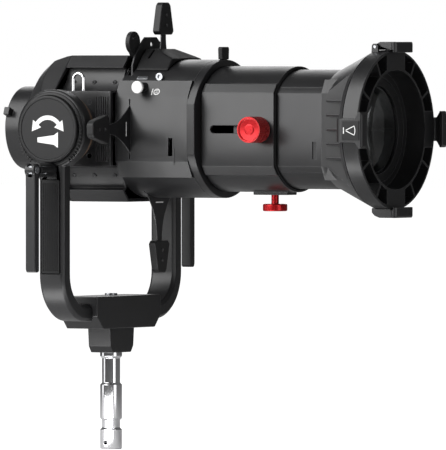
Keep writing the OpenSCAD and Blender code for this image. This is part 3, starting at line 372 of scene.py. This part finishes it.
pads = []
for side in (-1, 1):
    inner_y = side * (pad_high.y - PAD_T)
    outer_y = side * pad_high.y
    pad = block(
        "pad", (pad_low.x, min(inner_y, outer_y), pad_low.z),
        (pad_high.x, max(inner_y, outer_y), pad_high.z),
    )
    only(pad)
    bpy.ops.object.mode_set(mode="EDIT")
    for rib in range(1, PAD_RIBS):
        for edge_x in (-0.22, 0.22):
            bpy.ops.mesh.select_all(action="SELECT")
            bpy.ops.mesh.bisect(
                plane_co=(pad_low.x + (rib + edge_x) * rib_pitch, 0, 0), plane_no=(1, 0, 0)
            )
    for end_z in (ribs_low, ribs_high):
        bpy.ops.mesh.select_all(action="SELECT")
        bpy.ops.mesh.bisect(plane_co=(0, 0, end_z), plane_no=(0, 0, 1))
    bpy.ops.object.mode_set(mode="OBJECT")

    def in_groove(face):
        """True for the strips of the outer face that lie between two ribs."""
        across = (face.center.x - pad_low.x) / rib_pitch
        inside = ribs_low < face.center.z < ribs_high
        return face.normal.y * side > 0.9 and inside and abs(across - round(across)) < 0.1 \
            and 0.5 < across < PAD_RIBS - 0.5

    pick(pad, in_groove)
    bpy.ops.mesh.extrude_region_move(
        TRANSFORM_OT_translate={"value": (0, -side * PAD_GROOVE, 0)}
    )
    bpy.ops.object.mode_set(mode="OBJECT")
    pads.append(pad)
arm_pads = joined(pads, "arm_pads_ribbed")
soften(arm_pads, 0.00025, 1)
dress(arm_pads, rubber)
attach(arm_pads, "yoke")
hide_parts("arm_pads")

# ---------------------------------------------------------------------------------------------
# Tilt caps
# A moulded disc cap covers each axle nut, with a badge let into its face and a toothed clamp
# ring behind it. The badge carries a plain white tilt sign: an arc with an arrow at each end.
# ---------------------------------------------------------------------------------------------
moulded = finish(
    "black_moulded", (0.011, 0.011, 0.0115), 0.42, grain=1100, depth=0.000035, worn=(0.1, 0.1, 0.1),
    wear=0.35,
)
white_print = finish("white_print", (0.86, 0.86, 0.85), 0.5, grain=1800, depth=0.00001, vary=0.03)
moulded.node_tree.nodes["Principled BSDF"].inputs["Specular IOR Level"].default_value = 0.3
casting("tilt_caps", 0.0009, moulded, 3)
casting("cap_badges", 0.0004, moulded)
TILT_AXIS = Vector((0, 0, AXIS_Z))
RING_TEETH = 64
TOOTH_IN = 0.0428
TOOTH_OUT = 0.0472
TOOTH_HALF = 0.0007
LUG_GAP = math.radians(34)
arm_face_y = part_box("arm_left")[1].y
badge_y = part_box("cap_badges")[1].y


def placed(piece, matrix):
    """A copy of a piece with its own mesh, moved and turned in its mesh."""
    copy = bpy.data.objects.new(piece.name, piece.data.copy())
    copy.data.transform(matrix)
    if matrix.determinant() < 0:
        copy.data.flip_normals()
    bpy.context.collection.objects.link(copy)
    return copy


def mirrored(piece):
    """A copy of a piece on the other side of the middle plane."""
    return placed(piece, Matrix.Scale(-1, 4, Vector((0, 1, 0))))


tooth = block(
    "tooth", (TOOTH_IN, arm_face_y + 0.0004, -TOOTH_HALF),
    (TOOTH_OUT, arm_face_y + 0.0031, TOOTH_HALF),
)
soften(tooth, 0.0003, 1)
teeth = []
for number in range(RING_TEETH):
    turn = math.tau * number / RING_TEETH
    if abs((turn - math.pi / 2 + math.pi) % math.tau - math.pi) < LUG_GAP:
        continue
    place = Matrix.Translation(TILT_AXIS) @ Matrix.Rotation(turn, 4, "Y")
    teeth.append(placed(tooth, place))
bpy.data.objects.remove(tooth)
right_teeth = [mirrored(piece) for piece in teeth]
clamp_teeth = joined(teeth + right_teeth, "clamp_ring_teeth")
dress(clamp_teeth, moulded)
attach(clamp_teeth, "yoke")


def band(name, radius_in, radius_out, start, end, thick, steps=40):
    """A flat ring or part of one, on the XY plane about the origin, given its thickness."""
    bpy.ops.object.select_all(action="DESELECT")
    bpy.ops.mesh.primitive_plane_add(size=1, location=((radius_in + radius_out) / 2, 0, 0))
    piece = bpy.context.object
    piece.scale = (radius_out - radius_in, 0, 1)
    bpy.ops.object.transform_apply(location=True, rotation=True, scale=True)
    piece.data.transform(Matrix.Rotation(start, 4, "Z"))
    bpy.ops.object.mode_set(mode="EDIT")
    bpy.ops.mesh.select_all(action="SELECT")
    bpy.ops.mesh.remove_doubles(threshold=0.000001)
    bpy.ops.mesh.select_all(action="SELECT")
    bpy.ops.mesh.spin(steps=steps, angle=end - start, center=(0, 0, 0), axis=(0, 0, -1))
    bpy.ops.mesh.select_all(action="SELECT")
    bpy.ops.mesh.remove_doubles(threshold=0.000001)
    bpy.ops.mesh.normals_make_consistent(inside=False)
    bpy.ops.object.mode_set(mode="OBJECT")
    modify(piece, "SOLIDIFY", thickness=thick, offset=0)
    return settle(piece, name)


def flat_bar(name, points, thick):
    """A flat outline on the XY plane about the origin, given its thickness."""
    bpy.ops.object.select_all(action="DESELECT")
    bpy.ops.mesh.primitive_circle_add(vertices=len(points), fill_type="NGON")
    piece = bpy.context.object
    for vertex, (x, y) in zip(piece.data.vertices, points):
        vertex.co = (x, y, 0)
    modify(piece, "SOLIDIFY", thickness=thick, offset=0)
    return settle(piece, name)


def facing(place, out, up):
    """Stands something drawn on the XY plane at a place, facing out, with its Y the way up."""
    out = Vector(out).normalized()
    side = Vector(up).cross(out).normalized()
    up = out.cross(side)
    turn = Matrix((side, up, out)).transposed().to_4x4()
    return Matrix.Translation(place) @ turn


PRINT_T = 0.0004
arc = band("arc", 0.017, 0.0225, math.radians(38), math.radians(142), PRINT_T)
heads = []
for turn, way in ((38, -1), (142, 1)):
    head = flat_bar("head", [(-0.0075, 0), (0.0075, 0), (0, 0.0125)], PRINT_T)
    head.data.transform(
        Matrix.Rotation(math.radians(turn), 4, "Z")
        @ Matrix.Translation((0.01975, 0, 0))
        @ Matrix.Rotation(0 if way > 0 else math.pi, 4, "Z")
    )
    heads.append(head)
lamp = flat_bar(
    "lamp", [(-0.015, -0.0115), (0.009, -0.0145), (0.015, -0.0185), (0.015, 0.0015),
             (0.009, -0.0025), (-0.015, -0.0055)], PRINT_T,
)
sign = joined([arc, lamp, *heads], "sign")
signs = []
for side in (-1, 1):
    place = TILT_AXIS + Vector((0, side * badge_y, 0))
    signs.append(placed(sign, facing(place, (0, side, 0), (0, 0, 1))))
bpy.data.objects.remove(sign)
tilt_signs = joined(signs, "tilt_signs")
dress(tilt_signs, white_print)
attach(tilt_signs, "yoke")

# ---------------------------------------------------------------------------------------------
# Tilt levers
# Cast levers hinged on a cross pin in an eye, powder-coated. The pin's ends are riveted over a
# bright washer on each side. The draw bolt inside the boss pulls the clamp ring tight.
# ---------------------------------------------------------------------------------------------
anodised = finish(
    "black_anodised", (0.018, 0.018, 0.019), 0.34, metal=0.35, grain=1700, depth=0.00001,
    worn=GREY_METAL, wear=0.4,
)
casting("lever_left", 0.0012, powder, 3)
casting("lever_right", 0.0012, powder, 3)
casting("clamp_bosses", 0.0008, anodised)
casting("draw_bolts", 0.0005, steel)
casting("lever_pins", 0.0003, steel)

pin_low, pin_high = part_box("lever_pins")
pivot = Vector((0, pin_high.y - (pin_high.z - pin_low.z) / 2, (pin_high.z + pin_low.z) / 2))
lever_face_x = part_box("lever_right")[1].x
WASHER_IN = 0.0016
WASHER_OUT = 0.0046
WASHER_T = 0.0009
for side, body in ((-1, "lever_right"), (1, "lever_left")):
    washers = []
    for end in (-1, 1):
        washer = band("washer", WASHER_IN, WASHER_OUT, 0, math.tau, WASHER_T, 32)
        soften(washer, 0.00025, 2)
        place = Vector((end * (lever_face_x + 0.0003), side * pivot.y, pivot.z))
        washers.append(placed(washer, facing(place, (end, 0, 0), (0, 0, 1))))
        bpy.data.objects.remove(washer)
    pin_washers = joined(washers, body + "_washers")
    dress(pin_washers, steel)
    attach(pin_washers, body)

# ---------------------------------------------------------------------------------------------
# Tilt hubs
# Turned aluminium hubs on both sides of the housing run in bronze bushes in the arms. Brown
# friction discs and a locknut with its washer hold the tilt where it is set.
# ---------------------------------------------------------------------------------------------
bronze = finish("bronze", (0.5, 0.33, 0.15), 0.34, metal=1.0, grain=900, depth=0.000006)
friction_pad = finish(
    "friction_pad", (0.1, 0.062, 0.038), 0.8, grain=1500, depth=0.00006, vary=0.35
)
casting("hub_left", 0.0007, anodised)
casting("hub_right", 0.0007, anodised)
casting("friction_discs", 0.0004, friction_pad)
casting("axle_bushes", 0.0003, bronze)
casting("axle_nuts", 0.0004, steel)

# ---------------------------------------------------------------------------------------------
# Housing
# Two die-cast shells, upper and lower, with a sloping band along the top and a recess below
# it. Both are powder-coated, and small screws in the recesses hold them to their frame.
# ---------------------------------------------------------------------------------------------


def cut(piece, cutter):
    """Cuts one piece with another, which is used up."""
    modify(piece, "BOOLEAN", operation="DIFFERENCE", solver="EXACT", object=cutter)
    bpy.data.objects.remove(cutter)


def socket_screw(radius, height, socket=0.5):
    """A round-headed screw with a hexagon socket, standing up from the XY plane."""
    bpy.ops.object.select_all(action="DESELECT")
    bpy.ops.mesh.primitive_cylinder_add(
        vertices=28, radius=radius, depth=height, location=(0, 0, height / 2)
    )
    screw = settle(bpy.context.object, "screw")
    bpy.ops.object.select_all(action="DESELECT")
    bpy.ops.mesh.primitive_cylinder_add(
        vertices=6, radius=radius * socket, depth=height, location=(0, 0, height * 0.95)
    )
    cut(screw, settle(bpy.context.object, "socket"))
    soften(screw, radius * 0.09, 2)
    return screw


def screws(name, body, material, radius, height, places):
    """A set of like screws, each at a place and facing a way."""
    pattern = socket_screw(radius, height)
    copies = [placed(pattern, facing(place, out, up)) for place, out, up in places]
    bpy.data.objects.remove(pattern)
    whole = joined(copies, name)
    dress(whole, material)
    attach(whole, body)
    return whole


housing_top = casting("housing_top", 0.0012, powder, 2, True)
housing_bottom = casting("housing_bottom", 0.0012, powder, 2, True)
dark_steel = finish(
    "blackened_steel", (0.07, 0.07, 0.073), 0.32, metal=0.9, grain=800, depth=0.000006,
    worn=(0.5, 0.5, 0.5), wear=0.6,
)

# ---------------------------------------------------------------------------------------------
# Side panels
# Pressed covers over the housing's sides, each with a row of upright vents and four blackened
# socket screws near its corners.
# ---------------------------------------------------------------------------------------------
casting("panel_left", 0.0005, powder, 1, True)
casting("panel_right", 0.0005, powder, 1, True)
screw_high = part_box("panel_screws")[1]
panel_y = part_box("panel_left")[1].y
PANEL_SCREW_R = 0.0035
corner_x = screw_high.x - PANEL_SCREW_R
corner_z = screw_high.z - AXIS_Z - PANEL_SCREW_R
panel_places = [
    (Vector((x, side * panel_y, AXIS_Z + z)), (0, side, 0), (0, 0, 1))
    for side in (-1, 1) for x in (-corner_x, corner_x) for z in (-corner_z, corner_z)
]
panel_set = screws(
    "panel_screw_set", "head", dark_steel, 0.0034, screw_high.y - panel_y, panel_places
)
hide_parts("panel_screws")

# Small screws in the recesses of both shells
SHELL_SCREW_Y = 0.0615
SHELL_SCREWS_X = (-0.018, 0.012, 0.042)
shell_places = []
for shell, rise in ((housing_top, 1), (housing_bottom, -1)):
    for side in (-1, 1):
        for x in SHELL_SCREWS_X:
            start = Vector((x, side * SHELL_SCREW_Y, AXIS_Z + rise * 0.15))
            found, place, out, face = shell.ray_cast(start, Vector((0, 0, -rise)))
            if found:
                shell_places.append((place, out, (1, 0, 0)))
screws("shell_screws", "head", dark_steel, 0.003, 0.0012, shell_places)

# ---------------------------------------------------------------------------------------------
# Rear cover and collar
# A domed cast cover closes the housing at the back. The round collar on it takes the lamp
# head, whose bayonet ring turns over three square lugs.
# ---------------------------------------------------------------------------------------------
casting("rear_cover", 0.0014, powder, 3)
casting("rear_collar", 0.0009, powder, 3)
COVER_SCREWS_R = 0.0585
cover_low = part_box("rear_cover")[0]
cover_places = []
for turn in (45, 135, 225, 315):
    direction = Vector((0, math.cos(math.radians(turn)), math.sin(math.radians(turn))))
    place = Vector((cover_low.x, 0, AXIS_Z)) + direction * COVER_SCREWS_R
    cover_places.append((place, (-1, 0, 0), (0, 0, 1)))
screws("cover_screws", "head", dark_steel, 0.003, 0.0016, cover_places)

# ---------------------------------------------------------------------------------------------
# Safety eye
# A bent chromed steel loop through the housing's ledge, for the safety cable.
# ---------------------------------------------------------------------------------------------
casting("safety_eye", 0.0003, chrome)

# ---------------------------------------------------------------------------------------------
# Condenser
# Two lenses in a bare aluminium tube gather the lamp's light on the gate.
# ---------------------------------------------------------------------------------------------
aluminium = finish(
    "bare_aluminium", (0.5, 0.51, 0.53), 0.36, metal=1.0, grain=900, depth=0.000008,
    stretch=(0.1, 1, 1),
)
glass = bpy.data.materials.new("coated_glass")
glass.use_nodes = True
glass_shader = glass.node_tree.nodes["Principled BSDF"]
glass_shader.inputs["Base Color"].default_value = (0.93, 0.96, 0.97, 1)
glass_shader.inputs["Transmission Weight"].default_value = 1.0
glass_shader.inputs["IOR"].default_value = 1.5
smear = glass.node_tree.nodes.new("ShaderNodeTexNoise")
smear.inputs["Scale"].default_value = 45
smear_range = glass.node_tree.nodes.new("ShaderNodeMapRange")
smear_range.inputs["To Min"].default_value = 0.0
smear_range.inputs["To Max"].default_value = 0.045
smear_place = glass.node_tree.nodes.new("ShaderNodeTexCoord")
glass.node_tree.links.new(smear_place.outputs["Object"], smear.inputs["Vector"])
glass.node_tree.links.new(smear.outputs["Fac"], smear_range.inputs["Value"])
glass.node_tree.links.new(smear_range.outputs["Result"], glass_shader.inputs["Roughness"])
casting("condenser_tube", 0.0003, aluminium)
casting("condenser_lenses", 0.0003, glass)

# ---------------------------------------------------------------------------------------------
# Gate barrel
# A cast barrel with nearly flat sides and raised pads carries the gate. A narrow pocket is
# cast in each side near its front, with a thin upright ridge beside it.
# ---------------------------------------------------------------------------------------------


def crown(piece, half, lean_top, lean_bottom):
    """Shades a piece's upright sides as the slightly crowned walls that a casting has."""
    mesh = piece.data
    normals = [corner.vector.copy() for corner in mesh.corner_normals]
    for face in mesh.polygons:
        if abs(face.normal.y) < 0.995 or face.area < 0.0005:
            continue
        side = math.copysign(1, face.normal.y)
        for corner in face.loop_indices:
            rise = mesh.vertices[mesh.loops[corner].vertex_index].co.z - AXIS_Z
            part = min(1, max(0, (rise / half + 1) / 2))
            lean = math.radians(lean_bottom + (lean_top - lean_bottom) * part)
            normals[corner] = Vector((0, side * math.cos(lean), math.sin(lean)))
    mesh.normals_split_custom_set(normals)


POCKET_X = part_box("gate_barrel")[1].x - 0.0255
POCKET_HALF = 0.0032
POCKET_DEPTH = 0.0045
gate_barrel = copied("gate_barrel", "gate_barrel_finished")
gate_y = 0.079
GATE_CROWN = (0.041, 22, -5)
for side in (-1, 1):
    pocket = block(
        "pocket", (POCKET_X - POCKET_HALF, side * gate_y - POCKET_DEPTH, AXIS_Z - 0.029),
        (POCKET_X + POCKET_HALF, side * gate_y + POCKET_DEPTH, AXIS_Z - 0.006),
    )
    cut(gate_barrel, pocket)
soften(gate_barrel, 0.0009, 2, clamp=True)
crown(gate_barrel, *GATE_CROWN)
dress(gate_barrel, powder)

RIDGE_T = 0.0008
ridges = []
for side in (-1, 1):
    near, far = sorted((side * gate_y, side * (gate_y + RIDGE_T)))
    ridges.append(block(
        "ridge", (POCKET_X + 0.0048, near, AXIS_Z - 0.0405),
        (POCKET_X + 0.0062, far, AXIS_Z - 0.019),
    ))
gate_ridges = joined(ridges, "gate_ridges")
soften(gate_ridges, 0.0003, 1)
dress(gate_ridges, powder)
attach(gate_ridges, "head")
casting("gate_plates", 0.0002, dark_steel)
casting("gate_collar", 0.0009, powder)

# A small ear with a screw closes the end of the iris slot on the right, and a toothed index
# strip lies on the shoulder in front of it
EAR_TURN = math.atan2(0.0792, 0.0463)
EAR_R = 0.0052
EAR_L = 0.010
EAR_T = 0.0016
ear_round = [math.pi * step / 10 for step in range(11)]
ear_outline = [(EAR_R * math.cos(turn), EAR_R * math.sin(turn)) for turn in ear_round]
ear = flat_bar("ear", [*ear_outline, (-EAR_R, -EAR_L), (EAR_R, -EAR_L)], EAR_T)
ear_place = Vector((0.0547, -0.0463, AXIS_Z + 0.0772))
ear_up = (0, -math.cos(EAR_TURN), math.sin(EAR_TURN))
slot_ear = placed(ear, facing(ear_place, (1, 0, 0), ear_up))
bpy.data.objects.remove(ear)
slot_ear.name = "slot_ear"
soften(slot_ear, 0.0003, 2)
dress(slot_ear, powder)
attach(slot_ear, "head")
screws(
    "ear_screw", "head", dark_steel, 0.0022, 0.0009,
    [(ear_place + Vector((0.0008, 0, 0)), (1, 0, 0), (0, 0, 1))],
)

INDEX_TEETH = 7
INDEX_HALF = 0.0022
TOOTH_PITCH = 0.0021
TOOTH_L = 0.0011
index_parts = [block("index", (0.074, -INDEX_HALF, -0.0004), (0.0895, INDEX_HALF, 0.0009))]
for number in range(INDEX_TEETH):
    x = 0.0752 + number * TOOTH_PITCH
    index_parts.append(
        block("tooth", (x, -INDEX_HALF, 0.0008), (x + TOOTH_L, INDEX_HALF, 0.0017))
    )
index = joined(index_parts, "index")
soften(index, 0.00015, 1)
INDEX_TURN = math.radians(41)
strip_way = Vector((0, -math.sin(INDEX_TURN), math.cos(INDEX_TURN)))
strip_from = TILT_AXIS + strip_way * 0.15 + Vector((0.082, 0, 0))
strip_place = gate_barrel.ray_cast(strip_from, -strip_way)[1]
index_strip = placed(
    index,
    Matrix.Translation((0, strip_place.y, strip_place.z)) @ Matrix.Rotation(INDEX_TURN, 4, "X"),
)
bpy.data.objects.remove(index)
index_strip.name = "index_strip"
dress(index_strip, aluminium)
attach(index_strip, "head")

# ---------------------------------------------------------------------------------------------
# Drop-in iris
# A pressed cassette with a pull tab stands in the top slot. The iris lever beside it ends in a
# moulded paddle, and a moulded saddle covers the slot's front.
# ---------------------------------------------------------------------------------------------
casting("iris_cassette", 0.0004, anodised)
matt_moulded = finish(
    "matt_moulded", (0.008, 0.008, 0.0085), 0.6, grain=1000, depth=0.00004, worn=(0.09, 0.09, 0.09),
    wear=0.3,
)
matt_moulded.node_tree.nodes["Principled BSDF"].inputs["Specular IOR Level"].default_value = 0.2
casting("slot_saddle", 0.0018, matt_moulded, 3)
casting("iris_lever", 0.0009, moulded, 3)
LEAN = math.radians(21)
lever_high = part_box("iris_lever")[1]
paddle_up = Vector((0, -math.sin(LEAN), math.cos(LEAN)))
PADDLE_R = 0.110
paddle_eye = Vector((lever_high.x, 0, AXIS_Z)) + paddle_up * PADDLE_R
recess_out = band("recess", 0.0046, 0.0062, 0, math.tau, 0.0009, 40)
recess_out.data.transform(Matrix.Diagonal((0.8, 1.35, 1, 1)))
paddle_recess = placed(recess_out, facing(paddle_eye, (1, 0, 0), paddle_up))
bpy.data.objects.remove(recess_out)
paddle_recess.name = "paddle_rim"
soften(paddle_recess, 0.0003, 2)
dress(paddle_recess, moulded)
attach(paddle_recess, "iris_lever")

# ---------------------------------------------------------------------------------------------
# Slot plunger and side screw
# A white moulded button on a spring pin locks what stands in the slot. The white sign beside
# it shows a lens and a stop. A bright screw holds the saddle's foot.
# ---------------------------------------------------------------------------------------------
white_plastic = finish(
    "white_moulded", (0.8, 0.8, 0.79), 0.38, grain=1200, depth=0.00001, vary=0.03, coat=0.2
)
casting("slot_plunger", 0.0012, white_plastic, 3)
side_low, side_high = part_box("slot_screw")
SIDE_SCREW_L = 0.004
side_place = (side_low + side_high) / 2
side_place.y = side_low.y + SIDE_SCREW_L
side_screw = screws(
    "slot_screw_head", "head", steel, 0.005, SIDE_SCREW_L,
    [(side_place, (0, -1, 0), (0, 0, 1))],
)
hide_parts("slot_screw")


def stripe(name, low, high, thick):
    """A thin printed stripe between two corners on the XY plane."""
    return flat_bar(name, [low, (high[0], low[1]), high, (low[0], high[1])], thick)


stop_bar = stripe("stop_bar", (-0.0006, -0.0045), (0.0006, 0.0045), PRINT_T)
stop_bar.data.transform(Matrix.Translation((-0.0065, 0, 0)))
sign_parts = [stop_bar, band("lens_ring", 0.0034, 0.0044, 0, math.tau, PRINT_T, 32)]
for rise in (-0.0014, 0.0014):
    line = stripe("line", (-0.0022, -0.0004), (0.0022, 0.0004), PRINT_T)
    line.data.transform(Matrix.Translation((0, rise, 0)))
    sign_parts.append(line)
slot_sign_flat = joined(sign_parts, "slot_sign_flat")
sign_from = Vector((0.1115, -0.15, AXIS_Z + 0.052))
sign_place, sign_out = gate_barrel.ray_cast(sign_from, Vector((0, 1, 0)))[1:3]
slot_sign = placed(slot_sign_flat, facing(sign_place, sign_out, (0, 0, 1)))
bpy.data.objects.remove(slot_sign_flat)
slot_sign.name = "slot_sign"
dress(slot_sign, white_print)
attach(slot_sign, "head")

# ---------------------------------------------------------------------------------------------
# Framing shutters
# Four blades of blackened stainless sheet slide between the gate plates. Each has a moulded
# grip held by two screws, pressed edges along its neck and a white mark across it.
# ---------------------------------------------------------------------------------------------
blade_steel = finish(
    "shutter_steel", (0.055, 0.055, 0.058), 0.33, metal=0.85, grain=600, depth=0.000008,
    worn=(0.55, 0.55, 0.56), wear=0.9,
)
GRIP_SCREW_STEPS = (-0.0085, 0.0045)
MARK_GAP = 0.0485
WAYS = {"top": (0, 0, 1), "bottom": (0, 0, -1), "left": (0, 1, 0), "right": (0, -1, 0)}
for name, way in WAYS.items():
    body = "shutter_" + name
    way = Vector(way)
    casting("blade_" + name, 0.00015, blade_steel, 1)
    casting("grip_" + name, 0.0016, moulded, 3)
    low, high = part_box("grip_" + name)
    centre = (low + high) / 2
    grip_places = []
    for step in GRIP_SCREW_STEPS:
        place = Vector((high.x, centre.y, centre.z)) + way * step
        grip_places.append((place, (1, 0, 0), way))
        place = Vector((low.x, centre.y, centre.z)) + way * step
        grip_places.append((place, (-1, 0, 0), way))
    screws(body + "_screws", body, dark_steel, 0.0023, 0.0007, grip_places)
    grip_half = (high - centre).dot(Vector((abs(way.x), abs(way.y), abs(way.z))))
    root = centre - way * (grip_half + MARK_GAP)
    mark = stripe("mark", (-0.009, -0.0007), (0.009, 0.0007), PRINT_T / 2)
    place = Vector((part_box("blade_" + name)[1].x + PRINT_T / 8, root.y, root.z))
    blade_mark = placed(mark, facing(place, (1, 0, 0), way))
    bpy.data.objects.remove(mark)
    blade_mark.name = body + "_mark"
    dress(blade_mark, white_print)
    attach(blade_mark, body)

# ---------------------------------------------------------------------------------------------
# Barrel
# A cast barrel stands on the gate collar between two black rubber seals. A small moulded slide
# latch on top locks its turn.
# ---------------------------------------------------------------------------------------------
crown(casting("barrel", 0.001, powder, 3), *GATE_CROWN)
casting("barrel_seals", 0.0008, rubber, 2)
casting("barrel_latch", 0.0006, moulded, 2)

# ---------------------------------------------------------------------------------------------
# Focus knob and stem
# A knurled red anodised knob clamps the lens tube through a slot in the barrel. Its face is
# turned with a shallow dish, and its steel stem screws into the tube.
# ---------------------------------------------------------------------------------------------
red_metal = finish(
    "red_anodised", (0.5, 0.008, 0.012), 0.27, metal=0.55, grain=1300, depth=0.000012,
    vary=0.1, worn=(0.75, 0.45, 0.42), wear=0.35,
)
casting("focus_stem", 0.0003, steel)


def knurled(node, axis_place, out, radius, length, teeth, name):
    """A turned knob with fine grooves round its rim and a dished face, standing for a node."""
    bpy.ops.object.select_all(action="DESELECT")
    bpy.ops.mesh.primitive_cylinder_add(
        vertices=teeth * 4, radius=radius, depth=length, location=(0, 0, length / 2)
    )
    knob = settle(bpy.context.object, name)

    def at_rim(face):
        """True for every second pair of the narrow faces round the rim."""
        if abs(face.normal.z) > 0.5:
            return False
        turn = math.atan2(face.center.y, face.center.x) / math.tau * teeth
        return turn % 1.0 < 0.5

    pick(knob, at_rim)
    bpy.ops.mesh.inset(thickness=0.0001, depth=-radius * 0.022, use_even_offset=False)
    bpy.ops.object.mode_set(mode="OBJECT")
    pick(knob, lambda face: face.normal.z > 0.9 and len(face.vertices) > 8)
    bpy.ops.mesh.inset(thickness=radius * 0.12)
    bpy.ops.mesh.inset(thickness=radius * 0.06, depth=-length * 0.07)
    bpy.ops.mesh.inset(thickness=radius * 0.4, depth=-length * 0.03)
    bpy.ops.mesh.inset(thickness=radius * 0.08, depth=length * 0.04)
    bpy.ops.object.mode_set(mode="OBJECT")
    soften(knob, radius * 0.018, 1, 25)
    finished = placed(knob, facing(axis_place, out, (0, 0, 1)))
    bpy.data.objects.remove(knob)
    finished.name = name
    dress(finished, red_metal)
    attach(finished, BODY_OF[node])
    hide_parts(node)
    return finished


knob_low, knob_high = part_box("focus_knob")
knob_centre = (knob_low + knob_high) / 2
knurled(
    "focus_knob", Vector((knob_centre.x, knob_high.y, knob_centre.z)), (0, -1, 0),
    (knob_high.x - knob_low.x) / 2, knob_high.y - knob_low.y, 44, "focus_knob_knurled",
)

# ---------------------------------------------------------------------------------------------
# Thumbscrew
# A small turned screw in the same red as the focus knob. It stands under the barrel and locks
# the lens tube where it is set.
# ---------------------------------------------------------------------------------------------
casting("thumbscrew", 0.0007, red_metal, 2)

# ---------------------------------------------------------------------------------------------
# Lens tube
# An extruded tube with flat sides, hard anodised black, slides in the barrel. It has a narrow
# pocket near its front on each side.
# ---------------------------------------------------------------------------------------------
tube_anodised = finish(
    "tube_anodised", (0.02, 0.02, 0.021), 0.36, metal=0.3, grain=1500, depth=0.00001,
    worn=GREY_METAL, wear=0.35, stretch=(0.06, 1, 1),
)
tube = copied("lens_tube", "lens_tube_finished")
flat_y = 0.060
TUBE_POCKET_DEPTH = 0.0012
for side in (-1, 1):
    cut(tube, block(
        "pocket", (0.3285, side * flat_y - TUBE_POCKET_DEPTH, AXIS_Z - 0.032),
        (0.3345, side * flat_y + TUBE_POCKET_DEPTH, AXIS_Z - 0.010),
    ))
soften(tube, 0.0005, 2)
crown(tube, *GATE_CROWN)
dress(tube, tube_anodised)

# ---------------------------------------------------------------------------------------------
# Front bell and lenses
# A cast bell with ribs round its front flange carries the front lens behind a retaining ring.
# Both lenses are pressed borosilicate glass.
# ---------------------------------------------------------------------------------------------
bell = copied("bell", "bell_finished")
soften(bell, 0.0006, 1, 30, True)
dress(bell, powder)
casting("lens_rings", 0.0004, tube_anodised)
casting("front_lens", 0.0002, glass, 1)
casting("rear_lens", 0.0002, glass, 1)

# ---------------------------------------------------------------------------------------------
# Colour-frame clips and latch
# Three cast clips hold a colour frame in front of the flange, and a hinged latch above closes
# the fourth side. All are powder-coated with the bell.
# ---------------------------------------------------------------------------------------------
casting("frame_clips", 0.001, powder, 2)
casting("frame_latch", 0.001, powder, 2)
casting("latch_pin", 0.0003, steel)

# ---------------------------------------------------------------------------------------------
# Angle plate
# A moulded plate on the right clip tells the beam angle. Its plain white sign shows a lens
# and the two edges of a beam.
# ---------------------------------------------------------------------------------------------
casting("angle_plate", 0.0006, moulded)
plate_low, plate_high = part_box("angle_plate")
plate_mid = (plate_low + plate_high) / 2
BEAM_TURN = math.radians(24)
beam_parts = [
    band("arc", 0.0135, 0.0145, -BEAM_TURN, BEAM_TURN, PRINT_T, 20),
    stripe("lens", (-0.003, -0.004), (-0.0018, 0.004), PRINT_T),
]
for turn in (-BEAM_TURN, BEAM_TURN):
    ray = stripe("ray", (0.001, -0.0005), (0.014, 0.0005), PRINT_T)
    ray.data.transform(Matrix.Rotation(turn, 4, "Z"))
    beam_parts.append(ray)
beam = joined(beam_parts, "beam")
beam.data.transform(Matrix.Translation((-0.0075, 0, 0)))
plate_face = Vector((plate_mid.x, plate_low.y, plate_mid.z))
beam_sign = placed(beam, facing(plate_face, (0, -1, 0), (0, 0, 1)))
bpy.data.objects.remove(beam)
beam_sign.name = "beam_sign"
dress(beam_sign, white_print)
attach(beam_sign, "lens")
